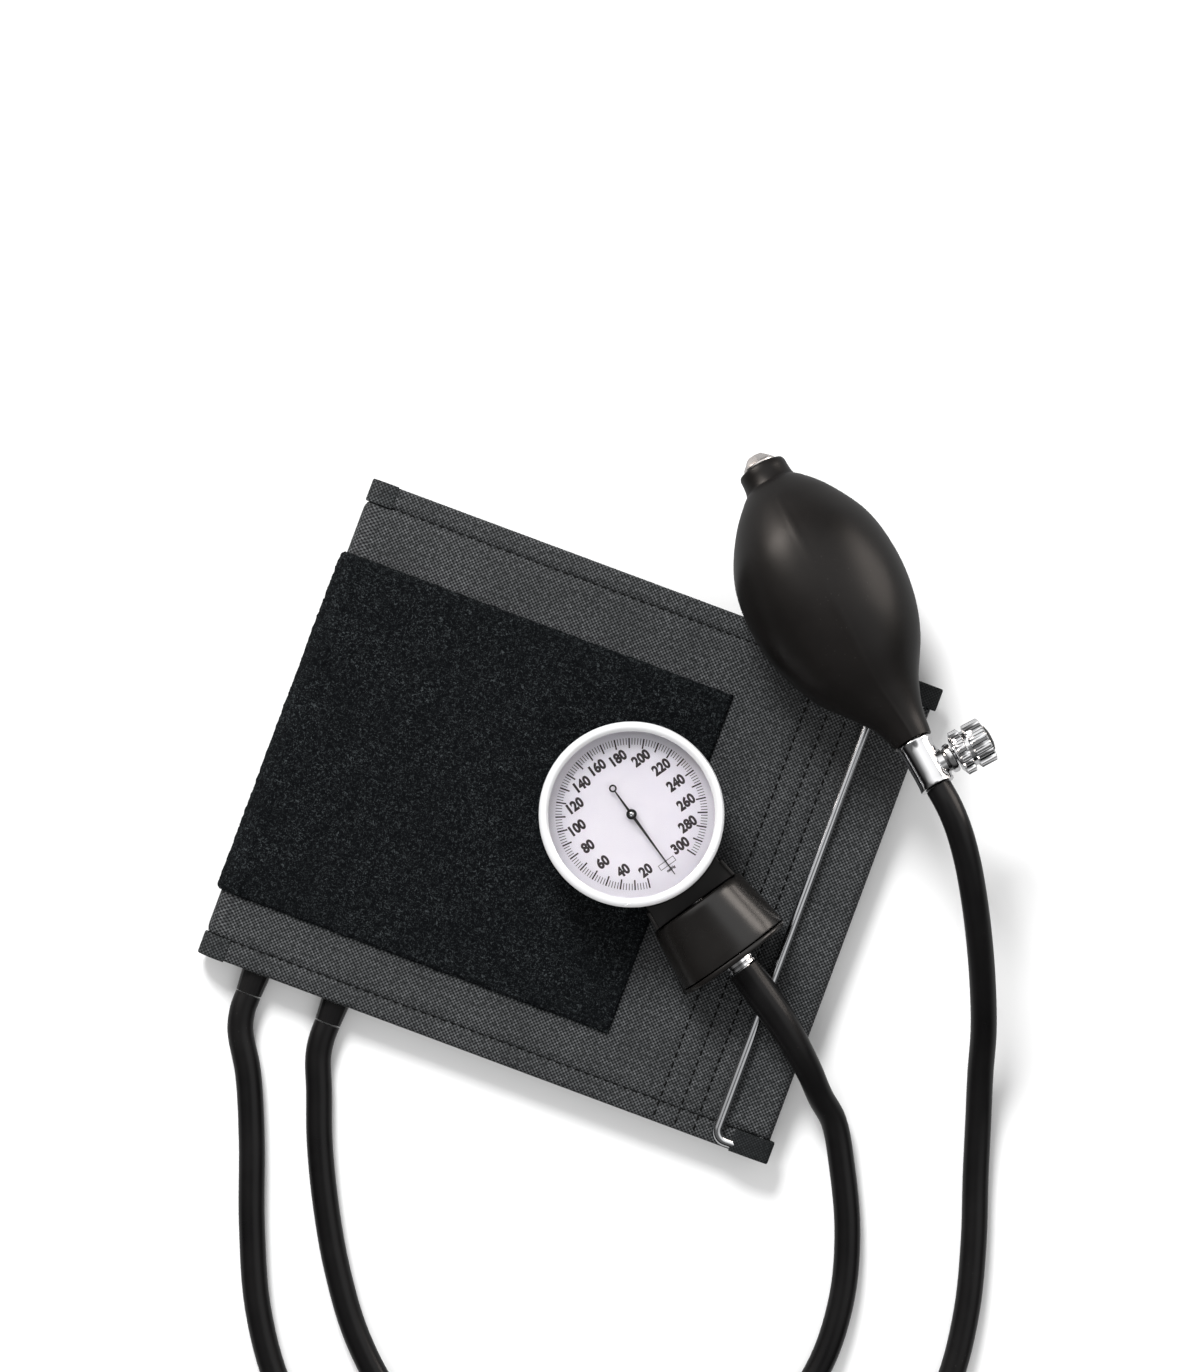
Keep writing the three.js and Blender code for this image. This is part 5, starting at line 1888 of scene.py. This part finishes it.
    def stitches(self, top: Callable[[float, float], float]) -> Shape:
        """Every visible stitch as a short thread lying in the cloth.

        Args:
            top: Gives the cloth's height at a place on the top layer.

        Returns:
            All stitches as one shape.
        """
        rows: list[tuple[np.ndarray, np.ndarray]] = []
        for seam in self.seam_rows:
            for y in np.arange(-self.half_width + 2.5, self.half_width - 2.5, self.stitch_pitch):
                rows.append((np.array([seam, y]), np.array([0.0, 1.0])))
        for side in (1, -1):
            for x in np.arange(self.fold_x, self.right - 3, self.stitch_pitch):
                rows.append((np.array([x, side * self.hem_seam]), np.array([1.0, 0.0])))
        made = []
        for place, along in rows:
            path = []
            for share, sink in ((-0.5, 0.3), (-0.3, 0.06), (0, 0), (0.3, 0.06), (0.5, 0.3)):
                x, y = place + along * self.stitch_length * share
                path.append((x, y, top(x, y) - sink))
            made.append(sweep(np.array(path), self.stitch_radius, 8))
        return Shape.joined(made)

    def tab(self, line: Sequence[tuple[float, float]], side: int) -> Shape:
        """One folded end of a hem strip.

        Args:
            line: The strip's middle line, as given (x, z) points.
            side: 1 for the hem at +Y, -1 for the one at -Y.

        Returns:
            The strip as a closed skin with eased edges.
        """
        points = flowing([(x, 0, z) for x, z in line], 5)[:, [0, 2]]
        along = np.gradient(points, axis=0)
        along /= np.linalg.norm(along, axis=1)[:, None]
        normal = np.c_[-along[:, 1], along[:, 0]]
        inner_edge, outer_edge = self.hem_edge + 0.6, self.half_width + 0.25
        v = inner_edge + (outer_edge - inner_edge) * (1 - np.cos(np.linspace(0, math.pi, 13))) / 2
        inset = np.minimum(v - v[0], v[-1] - v)
        ease = np.sqrt(np.clip(1 - (1 - np.clip(inset / 0.5, 0, 1)) ** 2, 0.06, 1))
        ends = np.minimum(np.arange(len(points)), np.arange(len(points))[::-1])
        half = self.tab_thick / 2 * ease[None, :] * np.clip((ends + 0.4) / 1.4, 0, 1)[:, None]
        grids = []
        for way in (1, -1):
            x = points[:, 0][:, None] + way * half * normal[:, 0][:, None]
            z = points[:, 1][:, None] + way * half * normal[:, 1][:, None]
            grids.append(np.stack([x, np.broadcast_to(side * v, x.shape), z], axis=2).reshape(-1, 3))
        return Shape(np.concatenate(grids), self.skin_faces(len(points), len(v)))

    def tabs(self) -> tuple[Shape, Shape]:
        """The ends of the two hem strips.

        Returns:
            The folded tabs at the ring, and the strips' stretch round the rolled end.
        """
        right, middle, top = self.right, self.top_z, self.top_z + self.full + self.hem_lift
        ring_end = [(75.2, top + 0.75), (78, top + 0.7), (81, top + 0.45), (83.6, top + 0.1),
                    (right + 1.0, middle + 1.3), (right + 1.25, middle), (right + 0.9, middle - 1.4),
                    (83.2, middle - 2.3), (79.5, middle - 2.5)]
        skin = 0.8 * (self.full + self.hem_lift)
        reach = self.top_z - self.fold_z + skin
        around = [(self.fold_x + reach * math.cos(a), self.fold_z + reach * math.sin(a))
                  for a in np.radians((90, 115, 140, 165, 190, 215))]
        rolled_end = [(self.fold_x + 2.4, self.top_z + skin), (self.fold_x + 1.2, self.top_z + skin), *around]
        at_ring, at_roll = ([self.tab(line, side) for side in (1, -1)] for line in (ring_end, rolled_end))
        return Shape.joined(at_ring), Shape.joined(at_roll)

    def ring(self) -> Shape:
        """The wire loop: one bar in the sleeve, the other over the cuff.

        Returns:
            The closed wire.
        """
        bar_z = self.top_z + self.full + 0.3 + self.wire
        corner = self.ring_corner
        span = math.hypot(self.ring_x - self.bar_x, bar_z - self.top_z)
        far, side = span - corner, self.ring_half - corner
        corners = ((far, side, 0), (corner, side, 90), (corner, -side, 180), (far, -side, 270))
        flat = np.array([point for x, y, start in corners
                         for point in arc(x, y, corner, start, start + 90, 8)])
        share = flat[:, 0] / span
        path = np.c_[self.bar_x + share * (self.ring_x - self.bar_x), flat[:, 1],
                     bar_z + share * (self.top_z - bar_z)]
        return sweep(path, self.wire, 24, loop=True)

    def build(self) -> None:
        """Makes the cloth, the patch, the stitching and the ring."""
        shape = self.cloth()
        cloth = make_object("rolled_cloth", shape, NYLON.material(), 60)
        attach(cloth, "cuff")
        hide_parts("cuff_outer_panel", "cuff_lining", "top_hem", "bottom_hem", "ring_sleeve")
        tree = BVHTree.FromPolygons([Vector(v) for v in shape.verts], shape.faces)

        def top(x: float, y: float) -> float:
            """The cloth's height at a place on the top layer."""
            hit = tree.ray_cast(Vector((x, y, 40)), Vector((0, 0, -1)))[0]
            return hit.z if hit else 0.0

        patch = make_object("pile_patch", self.patch(top), FLEECE.material(), 80)
        stand_for(patch, "loop_patch")
        thread = make_object("stitching", self.stitches(top), THREAD.material(), 60)
        stand_for(thread, "cuff_outer_panel", replaces=False)
        ring = make_object("wire_ring", self.ring(), WIRE.material(), 60)
        stand_for(ring, "d_ring")
        at_ring, at_roll = self.tabs()
        # The strips round the rolled end wear the darker nylon, a painted shade.
        strips = [make_object("ring_tabs", at_ring, HEM_NYLON.material(), 60),
                  make_object("rolled_strips", at_roll, SHADED_STRIP_NYLON.material(), 60)]
        for strip in strips:
            stand_for(strip, "cuff_outer_panel", replaces=False)


def main() -> None:
    """Builds the scene: camera and hoses first, then each sub-assembly."""
    logging.basicConfig(level=logging.INFO, format="%(name)s: %(message)s")
    Studio().build()
    for hose in (GAUGE_HOSE, BULB_HOSE):
        hose.build()
    dress_packed_nodes()
    for part in (CuffRoll(), Bulb(), ReleaseValve(), Gauge(), Holder()):
        part.build()
        LOG.info("%s built", type(part).__name__)
    bpy.context.view_layer.update()


if __name__ == "__main__":
    main()
